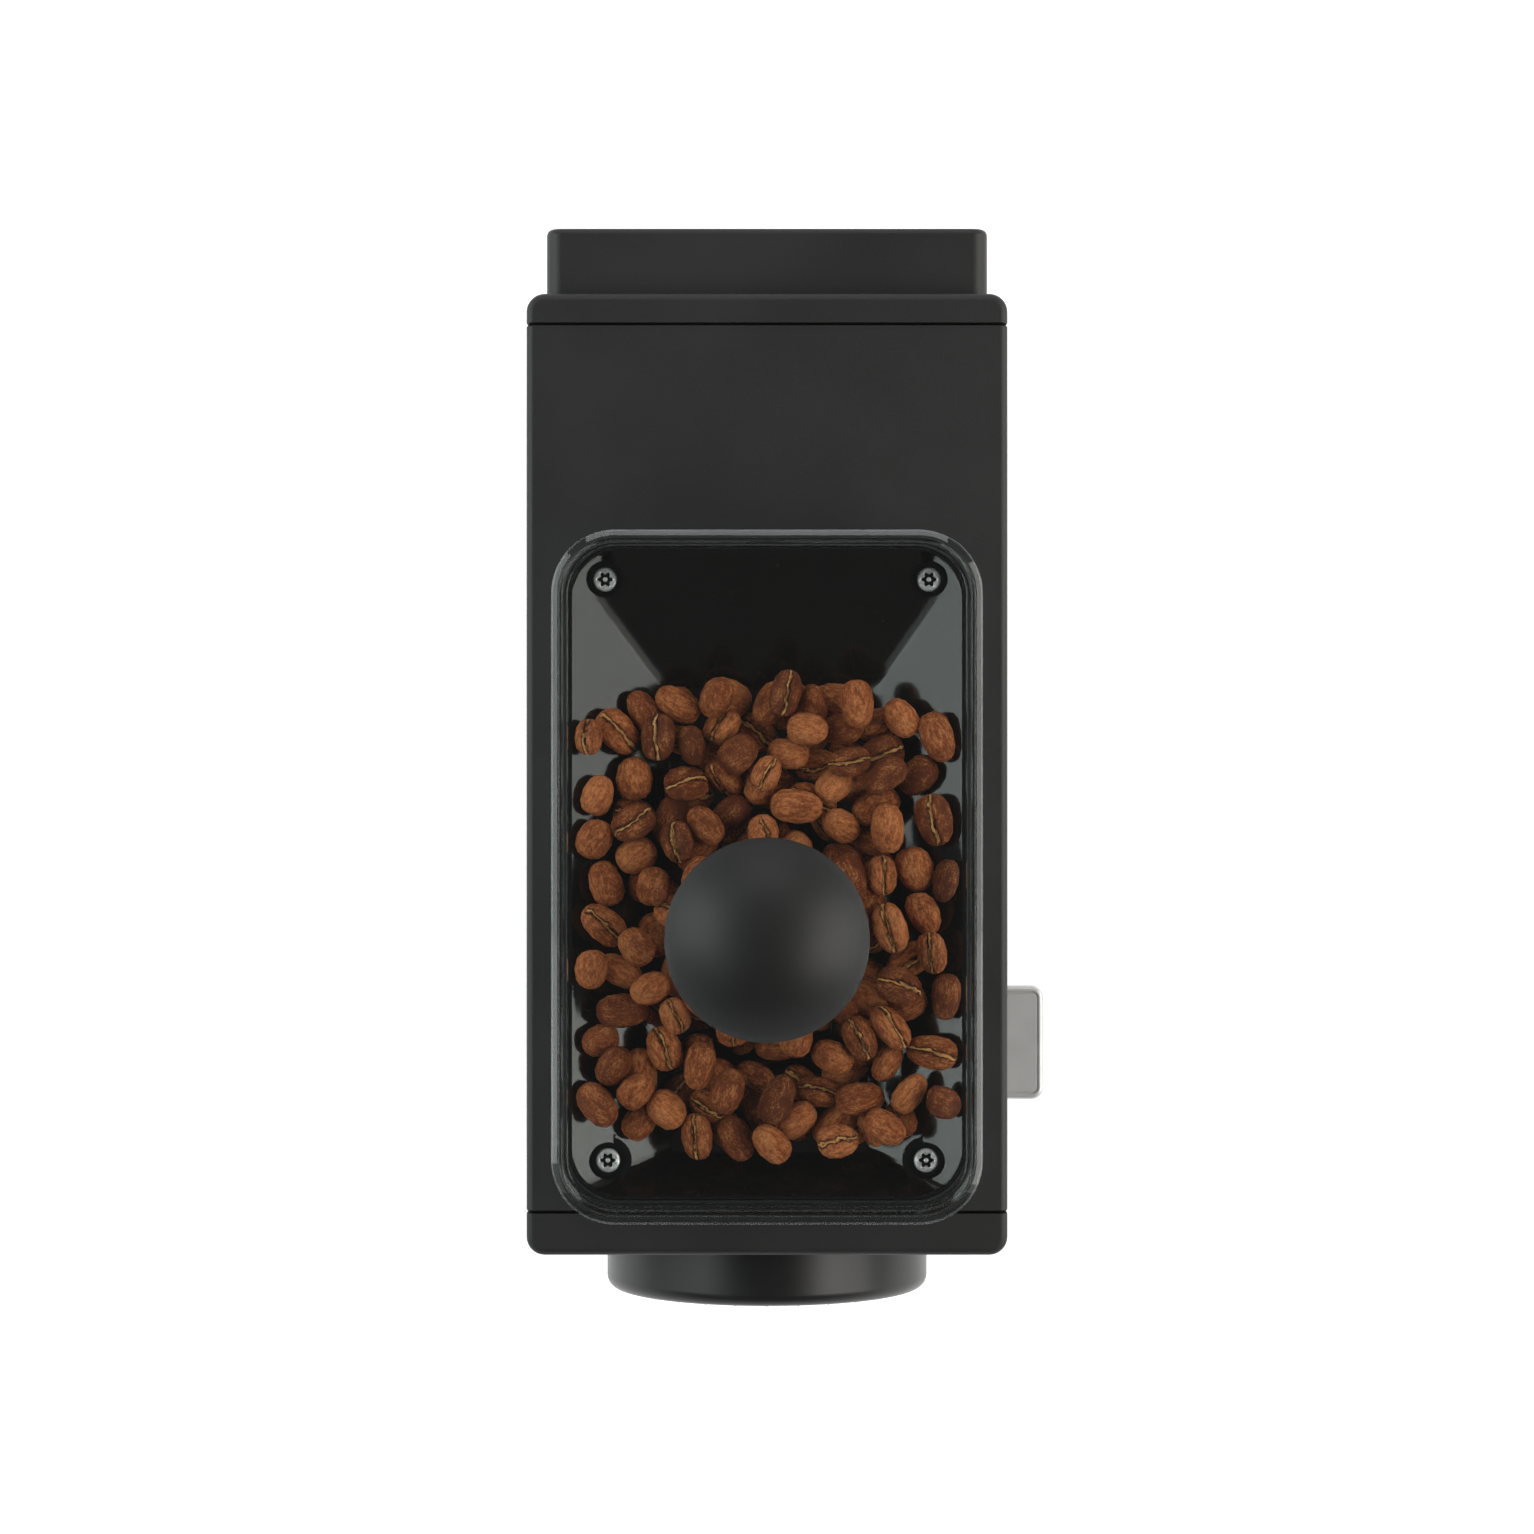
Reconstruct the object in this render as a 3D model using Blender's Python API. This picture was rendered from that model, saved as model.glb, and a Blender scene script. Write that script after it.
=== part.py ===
"""Burr coffee grinder: a box body on a rear leg and base, with a bean hopper on top, flat burrs fed by an auger,
a motor behind them, a grind-size dial in front and a catch cup under the chute.

Units are metres. +Z is up, -Y is the front (the dial) and +X is the right side (the knocker).
The origin is on the resting plane, under the middle of the body.
"""

import math

import bmesh
import bpy

GAP = 0.0003  # between neighbouring pieces
COARSE, FINE = 16, 36  # sides of small and of large round pieces

# Body: a rectangular tube along Y, closed by two caps
BODY_HALF = 0.0525
BODY_LOW, BODY_TOP = 0.114, 0.212
BODY_WALL = 0.003
FRONT_FACE, FRONT_SEAM = -0.1065, -0.097
REAR_SEAM, REAR_FACE = 0.0965, 0.1033
AXIS_Z = 0.165  # the dial, burrs, auger and motor share this axis along Y
COVER_HALF, COVER_DEPTH, COVER_INSET = 0.0486, 0.0153, 0.008

# Stand
PAD_TOP, BASE_TOP = 0.0027, 0.018
LEG_HALF, LEG_FRONT, LEG_REAR, LEG_WALL = 0.050, -0.014, 0.100, 0.003

# Hopper
RIM_HALF, RIM_FRONT, RIM_REAR, RIM_RADIUS = 0.0455, -0.0964, 0.0501, 0.0135
RIM_TOP, LID_THICK, CLEAR_WALL = 0.240, 0.002, 0.0017
TRAY_TOP, TRAY_FLOOR, TRAY_THICK = 0.2133, 0.2028, 0.0015
FLOOR_HALF, FLOOR_FRONT, FLOOR_REAR = 0.0235, -0.0848, 0.0189
THROAT_HALF, THROAT_FRONT, THROAT_REAR = 0.014, -0.067, -0.010
TROUGH_TOP = 0.1797
SCREW_SPOTS = ((-0.0354, 0.041), (0.0354, 0.041), (-0.0348, -0.086), (0.0348, -0.086))
KNOB_Y, KNOB_RADIUS, KNOB_HEIGHT = -0.0364, 0.0216, 0.0105

# Burrs and their chamber, by place along Y from the front
CHAMBER_RADIUS, CHAMBER_BORE = 0.036, 0.0343
CHAMBER_FRONT, CHAMBER_REAR = -0.0965, -0.070
BURR_OUTER, BURR_INNER, BURR_THICK = 0.032, 0.019, 0.0052
TOOTH, TEETH = 0.0015, 18
FIXED_BURR_FRONT, ROTATING_BURR_REAR = -0.0924, -0.0778
BURR_SCREWS, BURR_SCREW_CIRCLE = 3, 0.0255
AUGER_RADIUS, AUGER_CORE, AUGER_PITCH = 0.013, 0.0065, 0.021
SHAFT_RADIUS = 0.004

# Dial
DIAL_RADIUS, DIAL_FRONT, DETENTS = 0.0367, -0.1193, 31

# Motor
MOTOR_RADIUS, MOTOR_FRONT, MOTOR_REAR = 0.030, 0.016, 0.086

# Chute, knocker and cup
CHUTE_TOP, CHUTE_LOW = 0.1287, 0.098
KNOCKER_PIVOT = (0.030, -0.0675, 0.107)
KNOCKER_HALF, KNOCKER_THICK, KNOCKER_END = 0.0139, 0.004, 0.0678
CUP_Y, CUP_RADIUS, CUP_TOP, CUP_WALL = -0.066, 0.037, 0.094, 0.0015

# Start button, on the right side of the leg
BUTTON_Y, BUTTON_Z, BUTTON_RADIUS = 0.018, 0.066, 0.007

# Colour, roughness and metallic value of each finish
FINISHES = {
    "black_paint": ((0.028, 0.028, 0.029, 1), 0.55, 0.0),
    "black_plastic": ((0.020, 0.020, 0.021, 1), 0.45, 0.0),
    "gloss_plastic": ((0.030, 0.031, 0.029, 1), 0.12, 0.0),
    "clear_plastic": ((0.75, 0.78, 0.78, 0.35), 0.05, 0.0),
    "chrome": ((0.80, 0.80, 0.81, 1), 0.08, 1.0),
    "steel": ((0.55, 0.55, 0.56, 1), 0.30, 1.0),
    "aluminium": ((0.66, 0.67, 0.68, 1), 0.38, 1.0),
    "brass": ((0.72, 0.52, 0.22, 1), 0.30, 1.0),
    "copper": ((0.60, 0.30, 0.16, 1), 0.35, 1.0),
    "rubber": ((0.015, 0.015, 0.015, 1), 0.80, 0.0),
    "board": ((0.03, 0.14, 0.07, 1), 0.45, 0.0),
}


# Shapes: every solid is a skin over loops of points


def place(u, v, w, axis):
    """A point from its two coordinates across an axis and its place along it. Y is crossed by X and Z."""
    return {"X": (w, u, v), "Y": (u, w, v), "Z": (u, v, w)}[axis]


def skin(bm, loops, ring=False):
    """Joins loops of equally many points by faces. The ends are capped, or joined to each other in a ring."""
    rows = [[bm.verts.new(point) for point in loop] for loop in loops]
    count = len(rows[0])
    pairs = list(zip(rows, rows[1:]))
    if ring:
        pairs.append((rows[-1], rows[0]))
    else:
        bm.faces.new(rows[0])
        bm.faces.new(rows[-1])
    for first, second in pairs:
        for i in range(count):
            j = (i + 1) % count
            bm.faces.new((first[i], first[j], second[j], second[i]))


def arc(centre, radius, start, end, steps):
    """Points from one angle to another, in degrees, both ends included."""
    angles = [math.radians(start + (end - start) * i / steps) for i in range(steps + 1)]
    return [(centre[0] + radius * math.cos(a), centre[1] + radius * math.sin(a)) for a in angles]


def circle(radius, steps, centre=(0, 0)):
    return arc(centre, radius, 0, 360 * (1 - 1 / steps), steps - 1)


def rectangle(low, high, radii=(0, 0, 0, 0), steps=4):
    """A rectangle between two corners, rounded by radii, counter-clockwise from its low corner."""
    corners = ((low[0], low[1]), (high[0], low[1]), (high[0], high[1]), (low[0], high[1]))
    inward = ((1, 1), (-1, 1), (-1, -1), (1, -1))
    points = []
    for (x, y), (dx, dy), radius, start in zip(corners, inward, radii, (180, 270, 0, 90)):
        if radius:
            centre = (x + dx * radius, y + dy * radius)
            points += arc(centre, radius, start, start + 90, steps)
        else:
            points.append((x, y))
    return points


def rounded(low, high, radius, steps=3):
    return rectangle(low, high, (radius,) * 4, steps)


def at(outline, w, axis="Z"):
    return [place(u, v, w, axis) for u, v in outline]


def prism(bm, outline, low, high, axis="Z"):
    skin(bm, [at(outline, low, axis), at(outline, high, axis)])


def tube(bm, outer, inner, low, high, axis="Z"):
    """A prism with a hole along it. Both outlines have equally many points."""
    skin(bm, [at(outer, low, axis), at(outer, high, axis), at(inner, high, axis), at(inner, low, axis)], True)


def turned(bm, profile, steps, centre=(0, AXIS_Z), axis="Y", bore=False):
    """A profile of (radius, place along the axis) turned about it, with a bore or with flat ends."""
    skin(bm, [at(circle(radius, steps, centre), w, axis) for radius, w in profile], bore)


def box(bm, low, high):
    prism(bm, rectangle(low[:2], high[:2]), low[2], high[2])


def finish_material(name, finish):
    color, roughness, metallic = FINISHES[finish]
    material = bpy.data.materials.new(name)
    material.use_nodes = True
    shader = material.node_tree.nodes["Principled BSDF"]
    shader.inputs["Base Color"].default_value = color
    shader.inputs["Roughness"].default_value = roughness
    shader.inputs["Metallic"].default_value = metallic
    shader.inputs["Alpha"].default_value = color[3]
    return material


def make(name, bm, finish, origin=(0, 0, 0), parent=None):
    """An object from a mesh in world coordinates, with its own origin, on its parent empty where it moves."""
    bmesh.ops.recalc_face_normals(bm, faces=bm.faces)
    bmesh.ops.translate(bm, verts=bm.verts, vec=[-value for value in origin])
    mesh = bpy.data.meshes.new(name)
    bm.to_mesh(mesh)
    bm.free()
    mesh.shade_smooth()
    mesh.set_sharp_from_angle(angle=math.radians(35))
    piece = bpy.data.objects.new(name, mesh)
    bpy.context.collection.objects.link(piece)
    piece.location = origin
    if parent:
        piece.parent = parent
        piece.location = [a - b for a, b in zip(origin, parent.location)]
    if finish:
        mesh.materials.append(finish_material(name, finish))
    return piece


def pivot(name, place_):
    """An empty on a joint's axis. The pieces that move together are its children."""
    empty = bpy.data.objects.new(name, None)
    empty.location = place_
    empty.empty_display_size = 0.02
    bpy.context.collection.objects.link(empty)
    return empty


def combine(target, name, bm, operation="DIFFERENCE"):
    """Cuts a hidden tool shape out of a piece, or adds it."""
    tool = make(name, bm, None)
    tool.hide_render = True
    tool.display_type = "WIRE"
    if target.parent:
        bpy.context.view_layer.update()
        tool.parent = target.parent
        tool.location = [-value for value in target.parent.location]
    step = target.modifiers.new(name, "BOOLEAN")
    step.object = tool
    step.operation = operation
    step.solver = "EXACT"


def bevel(piece, width, segments=2, angle=40):
    step = piece.modifiers.new("edge", "BEVEL")
    step.width = width
    step.segments = segments
    step.angle_limit = math.radians(angle)


# Stand


def base():
    half, front, rear = BODY_HALF, FRONT_FACE, REAR_FACE
    inset = 0.004
    bm = bmesh.new()
    prism(bm, rounded((-half + inset, front + inset), (half - inset, rear - inset), 0.004), 0, PAD_TOP)
    make("base_pad", bm, "rubber")

    bm = bmesh.new()
    prism(bm, rounded((-half, front), (half, rear), 0.004), PAD_TOP + GAP, BASE_TOP - GAP)
    plate = make("base_plate", bm, "black_paint")
    bevel(plate, 0.001)
    bm = bmesh.new()
    turned(bm, [(0.0083, BASE_TOP - 0.004), (0.0083, BASE_TOP + 0.004)], COARSE, (0, CUP_Y), "Z")
    combine(plate, "magnet_pocket", bm)

    bm = bmesh.new()
    turned(bm, [(0.008, BASE_TOP - 0.0037), (0.008, BASE_TOP - 0.0006)], COARSE, (0, CUP_Y), "Z")
    make("base_magnet", bm, "steel")


def leg():
    outer = rounded((-LEG_HALF, LEG_FRONT), (LEG_HALF, LEG_REAR), 0.004)
    inner = rounded((-LEG_HALF + LEG_WALL, LEG_FRONT + LEG_WALL), (LEG_HALF - LEG_WALL, LEG_REAR - LEG_WALL), 0.002)
    low, high = BASE_TOP, BODY_LOW - GAP
    roof = high - LEG_WALL
    bm = bmesh.new()
    skin(bm, [at(inner, roof), at(inner, low), at(outer, low), at(outer, high)])
    shell = make("leg_shell", bm, "black_paint")

    bm = bmesh.new()
    turned(bm, [(0.008, roof - LEG_WALL), (0.008, high + LEG_WALL)], COARSE, (0, 0.060), "Z")
    turned(bm, [(BUTTON_RADIUS + 0.0005, LEG_HALF - 0.004), (BUTTON_RADIUS + 0.0005, LEG_HALF + 0.001)],
           COARSE, (BUTTON_Y, BUTTON_Z), "X")
    turned(bm, [(0.0063, LEG_REAR - 0.004), (0.0063, LEG_REAR + 0.001)], COARSE, (0.030, 0.034), "Y")
    combine(shell, "leg_holes", bm)

    # A bush for the mains lead, flanged outside, with the lead's bore through it
    bm = bmesh.new()
    profile = [(0.0035, LEG_REAR + 0.007), (0.0060, LEG_REAR + 0.007), (0.0088, LEG_REAR + 0.0015),
               (0.0088, LEG_REAR + GAP), (0.0060, LEG_REAR + GAP), (0.0060, LEG_REAR - 0.007),
               (0.0035, LEG_REAR - 0.007)]
    turned(bm, profile, COARSE, (0.030, 0.034), "Y", bore=True)
    make("cord_gland", bm, "rubber")


def start_button():
    centre = (BUTTON_Y, BUTTON_Z)
    inside = LEG_HALF - LEG_WALL - GAP
    press = pivot("button_axis", (LEG_HALF, BUTTON_Y, BUTTON_Z))
    origin = tuple(press.location)

    bm = bmesh.new()
    profile = [(0.0088, inside - 0.0015), (0.0088, inside), (BUTTON_RADIUS, inside + 0.0002),
               (BUTTON_RADIUS, LEG_HALF + 0.0016), (BUTTON_RADIUS - 0.0007, LEG_HALF + 0.0022)]
    turned(bm, profile, COARSE, centre, "X")
    make("start_button", bm, "steel", origin, press)

    # The spring sits behind the cap and runs into the switch's pocket
    wire, coil, turns, length = 0.0005, 0.0032, 3, 0.0052
    start = inside - 0.0015 - GAP - wire
    bm = bmesh.new()
    coil_spring(bm, (start - length, BUTTON_Y, BUTTON_Z), "X", coil, wire, turns, length)
    make("button_spring", bm, "steel", origin, press)

    bm = bmesh.new()
    turned(bm, [(0.0077, LEG_HALF + GAP), (0.0077, LEG_HALF + 0.0013), (0.0095, LEG_HALF + 0.0013),
                (0.0104, LEG_HALF + GAP)], COARSE, centre, "X", bore=True)
    make("button_bezel", bm, "chrome")

    bm = bmesh.new()
    face = inside - 0.0050
    box(bm, (face - 0.012, BUTTON_Y - 0.008, BUTTON_Z - 0.007), (face, BUTTON_Y + 0.008, BUTTON_Z + 0.007))
    switch = make("start_switch", bm, "black_plastic")
    bm = bmesh.new()
    turned(bm, [(0.0050, face - 0.0075), (0.0050, face + 0.001)], COARSE, centre, "X")
    combine(switch, "switch_pocket", bm)


def control_board():
    y, low = 0.062, BASE_TOP + GAP
    bm = bmesh.new()
    box(bm, (-0.040, y, low), (0.040, y + 0.0016, 0.100))
    make("control_board", bm, "board")

    bm = bmesh.new()
    turned(bm, [(0.0095, y - 0.026), (0.0100, y - 0.025), (0.0100, y - GAP)], COARSE, (-0.022, 0.074), "Y")
    make("board_capacitor", bm, "black_plastic")

    bm = bmesh.new()
    box(bm, (0.000, y - 0.024, 0.050), (0.030, y - GAP, 0.084))
    core = make("board_transformer", bm, "steel")
    bevel(core, 0.0015, 1)


# Body


def body():
    y0, y1 = FRONT_SEAM + GAP / 2, REAR_SEAM - GAP / 2
    outer = rounded((-BODY_HALF, BODY_LOW), (BODY_HALF, BODY_TOP), 0.002, 3)
    wall = BODY_WALL
    inner = rounded((-BODY_HALF + wall, BODY_LOW + wall), (BODY_HALF - wall, BODY_TOP - wall), 0.001, 3)
    bm = bmesh.new()
    tube(bm, outer, inner, y0, y1, "Y")
    shell = make("body_tube", bm, "black_paint")

    # Lugs inside the side walls, which take the hopper's screws
    lug_low, lug_top, lug_inner, lug_side = 0.198, 0.2037, 0.030, 0.0045
    bm = bmesh.new()
    for x, y in SCREW_SPOTS:
        side = math.copysign(1, x)
        ends = sorted((side * lug_inner, side * (BODY_HALF - wall / 2)))
        box(bm, (ends[0], y - lug_side, lug_low), (ends[1], y + lug_side, lug_top))
    combine(shell, "hopper_lugs", bm, "UNION")

    bm = bmesh.new()
    mouth = CLEAR_WALL + GAP
    half, front, rear = RIM_HALF - mouth, RIM_FRONT + mouth, RIM_REAR - mouth
    prism(bm, rounded((-half, front), (half, rear), RIM_RADIUS - mouth, 5), BODY_TOP - wall - 0.001, BODY_TOP + 0.001)
    for x, y in SCREW_SPOTS:
        turned(bm, [(0.0015, lug_low - 0.001), (0.0015, lug_top + 0.001)], 12, (x, y), "Z")
    box(bm, (-0.0145, -0.088, BODY_LOW - 0.001), (0.0145, -0.0655, BODY_LOW + wall + 0.001))
    turned(bm, [(0.008, BODY_LOW - 0.001), (0.008, BODY_LOW + wall + 0.001)], COARSE, (0, 0.060), "Z")
    combine(shell, "body_openings", bm)

    bm = bmesh.new()
    corners = (0.004, 0.004, 0, 0)
    outline = rectangle((-BODY_HALF, FRONT_FACE), (BODY_HALF, FRONT_SEAM - GAP / 2), corners)
    prism(bm, outline, BODY_LOW, BODY_TOP)
    cap = make("front_cap", bm, "black_paint")
    bm = bmesh.new()
    turned(bm, [(0.024, FRONT_FACE - 0.001), (0.024, FRONT_SEAM + 0.001)], FINE)
    combine(cap, "front_cap_bore", bm)

    bm = bmesh.new()
    corners = (0, 0, 0.004, 0.004)
    outline = rectangle((-BODY_HALF, REAR_SEAM + GAP / 2), (BODY_HALF, REAR_FACE), corners)
    prism(bm, outline, BODY_LOW, BODY_TOP)
    cap = make("rear_cap", bm, "black_paint")
    bm = bmesh.new()
    box(bm, (-0.036, REAR_SEAM - 0.001, 0.131), (0.036, REAR_FACE + 0.001, 0.197))
    combine(cap, "rear_cap_window", bm)


def rear_cover():
    low, high = BODY_LOW + COVER_INSET, BODY_TOP - COVER_INSET
    front, rear, wall, draft = REAR_FACE + GAP, REAR_FACE + COVER_DEPTH, 0.0025, 0.0005
    loops = []
    for inset, y in ((wall, rear - wall), (wall, front), (0, front), (draft, rear)):
        half = COVER_HALF - inset
        outline = rounded((-half, low + inset), (half, high - inset), 0.0035 - inset / 2, 3)
        loops.append(at(outline, y, "Y"))
    bm = bmesh.new()
    skin(bm, loops)
    cover = make("rear_cover", bm, "black_paint")

    # Vent slots across the rear
    slots, pitch, slot_half, slot_high = 9, 0.0062, 0.030, 0.0026
    bm = bmesh.new()
    for i in range(slots):
        z = AXIS_Z + (i - (slots - 1) / 2) * pitch
        box(bm, (-slot_half, rear - 0.004, z - slot_high / 2), (slot_half, rear + 0.001, z + slot_high / 2))
    combine(cover, "vent_slots", bm)

    # Two cover screws, left and right of the vents
    bm = bmesh.new()
    for x in (-0.040, 0.040):
        turned(bm, [(0.0021, rear - 0.004), (0.0021, rear + 0.001)], 12, (x, AXIS_Z))
    combine(cover, "cover_screw_holes", bm)
    for number, x in enumerate((-0.040, 0.040), 1):
        bm = bmesh.new()
        profile = [(0.0016, REAR_FACE - 0.0035), (0.0016, rear + GAP), (0.0034, rear + GAP),
                   (0.0034, rear + 0.0012), (0.0026, rear + 0.0019)]
        turned(bm, profile, 12, (x, AXIS_Z))
        make(f"cover_screw_{number}", bm, "steel")
    bm = bmesh.new()
    for x in (-0.040, 0.040):
        turned(bm, [(0.0020, REAR_FACE - 0.0045), (0.0020, REAR_FACE + 0.001)], 12, (x, AXIS_Z))
    combine(bpy.data.objects["rear_cap"], "rear_cap_holes", bm)


# Hopper


def hopper_tray():
    """A pan with four slopes down to a flat floor, and a duct from its floor to the auger's trough."""
    margin = CLEAR_WALL + 2 * GAP
    half, front, rear = RIM_HALF - margin, RIM_FRONT + margin, RIM_REAR - margin
    land, steps = 0.0008, 3
    radius = RIM_RADIUS - margin
    thick = TRAY_THICK

    def ring(half_x, y0, y1, r, z):
        return at(rounded((-half_x, y0), (half_x, y1), r, steps), z)

    throat = (THROAT_HALF, THROAT_FRONT, THROAT_REAR)
    duct = (THROAT_HALF + thick, THROAT_FRONT - thick, THROAT_REAR + thick)
    duct_low = TROUGH_TOP + GAP
    loops = [
        ring(half, front, rear, radius, TRAY_TOP),
        ring(half - land, front + land, rear - land, radius - land, TRAY_TOP),
        ring(FLOOR_HALF, FLOOR_FRONT, FLOOR_REAR, 0.0015, TRAY_FLOOR),
        ring(*throat, 0.002, TRAY_FLOOR - 0.0004),
        ring(*throat, 0.002, duct_low),
        ring(*duct, 0.0035, duct_low),
        ring(*duct, 0.0035, TRAY_FLOOR - thick),
        ring(FLOOR_HALF, FLOOR_FRONT, FLOOR_REAR, 0.0015, TRAY_FLOOR - thick),
        ring(half, front, rear, radius, TRAY_TOP - 0.0020),
    ]
    bm = bmesh.new()
    skin(bm, loops, ring=True)
    tray = make("hopper_tray", bm, "gloss_plastic")

    boss_low, seat = 0.2040, 0.2070
    bm = bmesh.new()
    for x, y in SCREW_SPOTS:
        turned(bm, [(0.0052, boss_low), (0.0052, 0.2090)], 12, (x, y), "Z")
    combine(tray, "screw_bosses", bm, "UNION")
    bm = bmesh.new()
    for x, y in SCREW_SPOTS:
        turned(bm, [(0.0015, boss_low - 0.001), (0.0015, seat), (0.0040, seat), (0.0040, TRAY_TOP + 0.001)],
               12, (x, y), "Z")
    combine(tray, "screw_pockets", bm)

    for number, (x, y) in enumerate(SCREW_SPOTS, 1):
        low = seat + GAP
        bm = bmesh.new()
        profile = [(0.0012, 0.1995), (0.0012, low), (0.0027, low), (0.0027, low + 0.0015), (0.0021, low + 0.0021)]
        turned(bm, profile, 12, (x, y), "Z")
        make(f"hopper_screw_{number}", bm, "steel")


def hopper_wall_and_lid():
    def outline(inset, steps=5):
        low, high = (-RIM_HALF + inset, RIM_FRONT + inset), (RIM_HALF - inset, RIM_REAR - inset)
        return rounded(low, high, RIM_RADIUS - inset, steps)

    lid_low = RIM_TOP - LID_THICK
    bm = bmesh.new()
    tube(bm, outline(0), outline(CLEAR_WALL), BODY_TOP + GAP, lid_low - GAP)
    make("hopper_wall", bm, "clear_plastic")

    # The lid lifts off upwards. Its lip stands inside the wall
    lift = pivot("lid_lift", (0, KNOB_Y, lid_low))
    origin = tuple(lift.location)
    lip_out, lip_in, lip_low = CLEAR_WALL + 0.0004, CLEAR_WALL + 0.0016, lid_low - 0.0040
    bm = bmesh.new()
    skin(bm, [at(outline(lip_in), lid_low), at(outline(lip_in), lip_low), at(outline(lip_out), lip_low),
              at(outline(lip_out), lid_low), at(outline(0), lid_low), at(outline(0), RIM_TOP)])
    lid = make("lid_plate", bm, "clear_plastic", origin, lift)
    bm = bmesh.new()
    turned(bm, [(0.0022, lid_low - 0.001), (0.0022, RIM_TOP + 0.001)], 16, (0, KNOB_Y), "Z")
    combine(lid, "knob_screw_hole", bm)

    # A dome: a spherical cap on a short upright edge
    base_z, edge, rings = RIM_TOP + GAP, 0.0015, 5
    rise = KNOB_HEIGHT - edge
    sphere = (KNOB_RADIUS**2 + rise**2) / (2 * rise)
    profile = [(0.0018, base_z + 0.006), (0.0018, base_z), (KNOB_RADIUS, base_z)]
    for i in range(rings):
        radius = KNOB_RADIUS * math.cos(math.radians(84) * i / (rings - 1))
        profile.append((radius, base_z + edge + math.sqrt(sphere**2 - radius**2) - (sphere - rise)))
    bm = bmesh.new()
    turned(bm, profile, FINE, (0, KNOB_Y), "Z")
    make("lid_knob", bm, "black_plastic", origin, lift)

    bm = bmesh.new()
    head = lid_low - GAP
    turned(bm, [(0.0028, head - 0.0018), (0.0036, head - 0.0012), (0.0036, head), (0.0014, head),
                (0.0014, base_z + 0.0055)], 16, (0, KNOB_Y), "Z")
    make("lid_knob_screw", bm, "steel", origin, lift)


# Burrs, auger and dial


def burr_chamber():
    back = CHAMBER_REAR - 0.0035
    hole = 0.0143
    bm = bmesh.new()
    turned(bm, [(CHAMBER_RADIUS, CHAMBER_FRONT), (CHAMBER_RADIUS, CHAMBER_REAR), (hole, CHAMBER_REAR),
                (hole, back), (CHAMBER_BORE, back), (CHAMBER_BORE, CHAMBER_FRONT)], FINE, bore=True)
    chamber = make("burr_chamber", bm, "aluminium")

    # The auger's trough: a U along Y, open on top under the hopper's duct
    outer_half, inner_half, steps, trough_rear, end = 0.017, 0.0146, 10, -0.007, 0.0055
    centre = (0, AXIS_Z)
    outer = arc(centre, outer_half, 180, 360, steps)
    inner = arc(centre, inner_half, 360, 180, steps)
    section = [(-outer_half, TROUGH_TOP)] + outer + [(outer_half, TROUGH_TOP)]
    section += [(inner_half, TROUGH_TOP)] + inner + [(-inner_half, TROUGH_TOP)]
    bm = bmesh.new()
    prism(bm, section, CHAMBER_REAR - 0.001, trough_rear, "Y")
    combine(chamber, "auger_trough", bm, "UNION")
    bm = bmesh.new()
    plug = [(-outer_half, TROUGH_TOP)] + outer + [(outer_half, TROUGH_TOP)]
    prism(bm, plug, trough_rear - 0.0005, trough_rear + end, "Y")
    combine(chamber, "trough_end", bm, "UNION")

    bm = bmesh.new()
    turned(bm, [(0.0110, trough_rear - 0.002), (0.0110, trough_rear + end + 0.001)], 24)
    box(bm, (-0.011, -0.091, AXIS_Z - CHAMBER_RADIUS - 0.002), (0.011, -0.076, AXIS_Z - 0.025))
    combine(chamber, "bearing_seat_and_outlet", bm)

    bm = bmesh.new()
    turned(bm, [(SHAFT_RADIUS + GAP, trough_rear), (0.0107, trough_rear), (0.0107, trough_rear + 0.005),
                (SHAFT_RADIUS + GAP, trough_rear + 0.005)], 24, bore=True)
    make("auger_bearing", bm, "brass")


def burr(name, back, facing, origin, parent):
    """A flat burr: a ring whose face towards its partner carries slanted teeth. It has countersunk screw holes."""
    count = 2 * TEETH
    face = back + facing * BURR_THICK

    def ring(radius, w, slant=0.0, raised=0.0):
        points = []
        for i in range(count):
            angle = math.radians(360 * i / count + slant)
            y = w + facing * (raised if i % 2 else 0)
            points.append((radius * math.cos(angle), y, AXIS_Z + radius * math.sin(angle)))
        return points

    middle = 0.6 * BURR_OUTER + 0.4 * BURR_INNER
    loops = [
        ring(BURR_OUTER, back),
        ring(BURR_OUTER, face, 6, TOOTH * 0.5),
        ring(middle, face - facing * 0.0006, 3, TOOTH),
        ring(BURR_INNER, face - facing * 0.0022, 0, TOOTH),
        ring(BURR_INNER, back),
    ]
    bm = bmesh.new()
    skin(bm, loops, ring=True)
    piece = make(name, bm, "steel", origin, parent)
    bm = bmesh.new()
    for i in range(BURR_SCREWS):
        ends = (back - facing * 0.001, back + facing * 0.002, back + facing * (BURR_THICK + TOOTH + 0.001))
        centre = burr_screw_spot(i)
        turned(bm, [(0.0018, ends[0]), (0.0018, ends[1]), (0.0033, ends[1]), (0.0033, ends[2])], 12, centre)
    combine(piece, name + "_holes", bm)
    return piece


def burr_screw_spot(index):
    angle = math.radians(90 + 360 * index / BURR_SCREWS)
    return (BURR_SCREW_CIRCLE * math.cos(angle), AXIS_Z + BURR_SCREW_CIRCLE * math.sin(angle))


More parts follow.
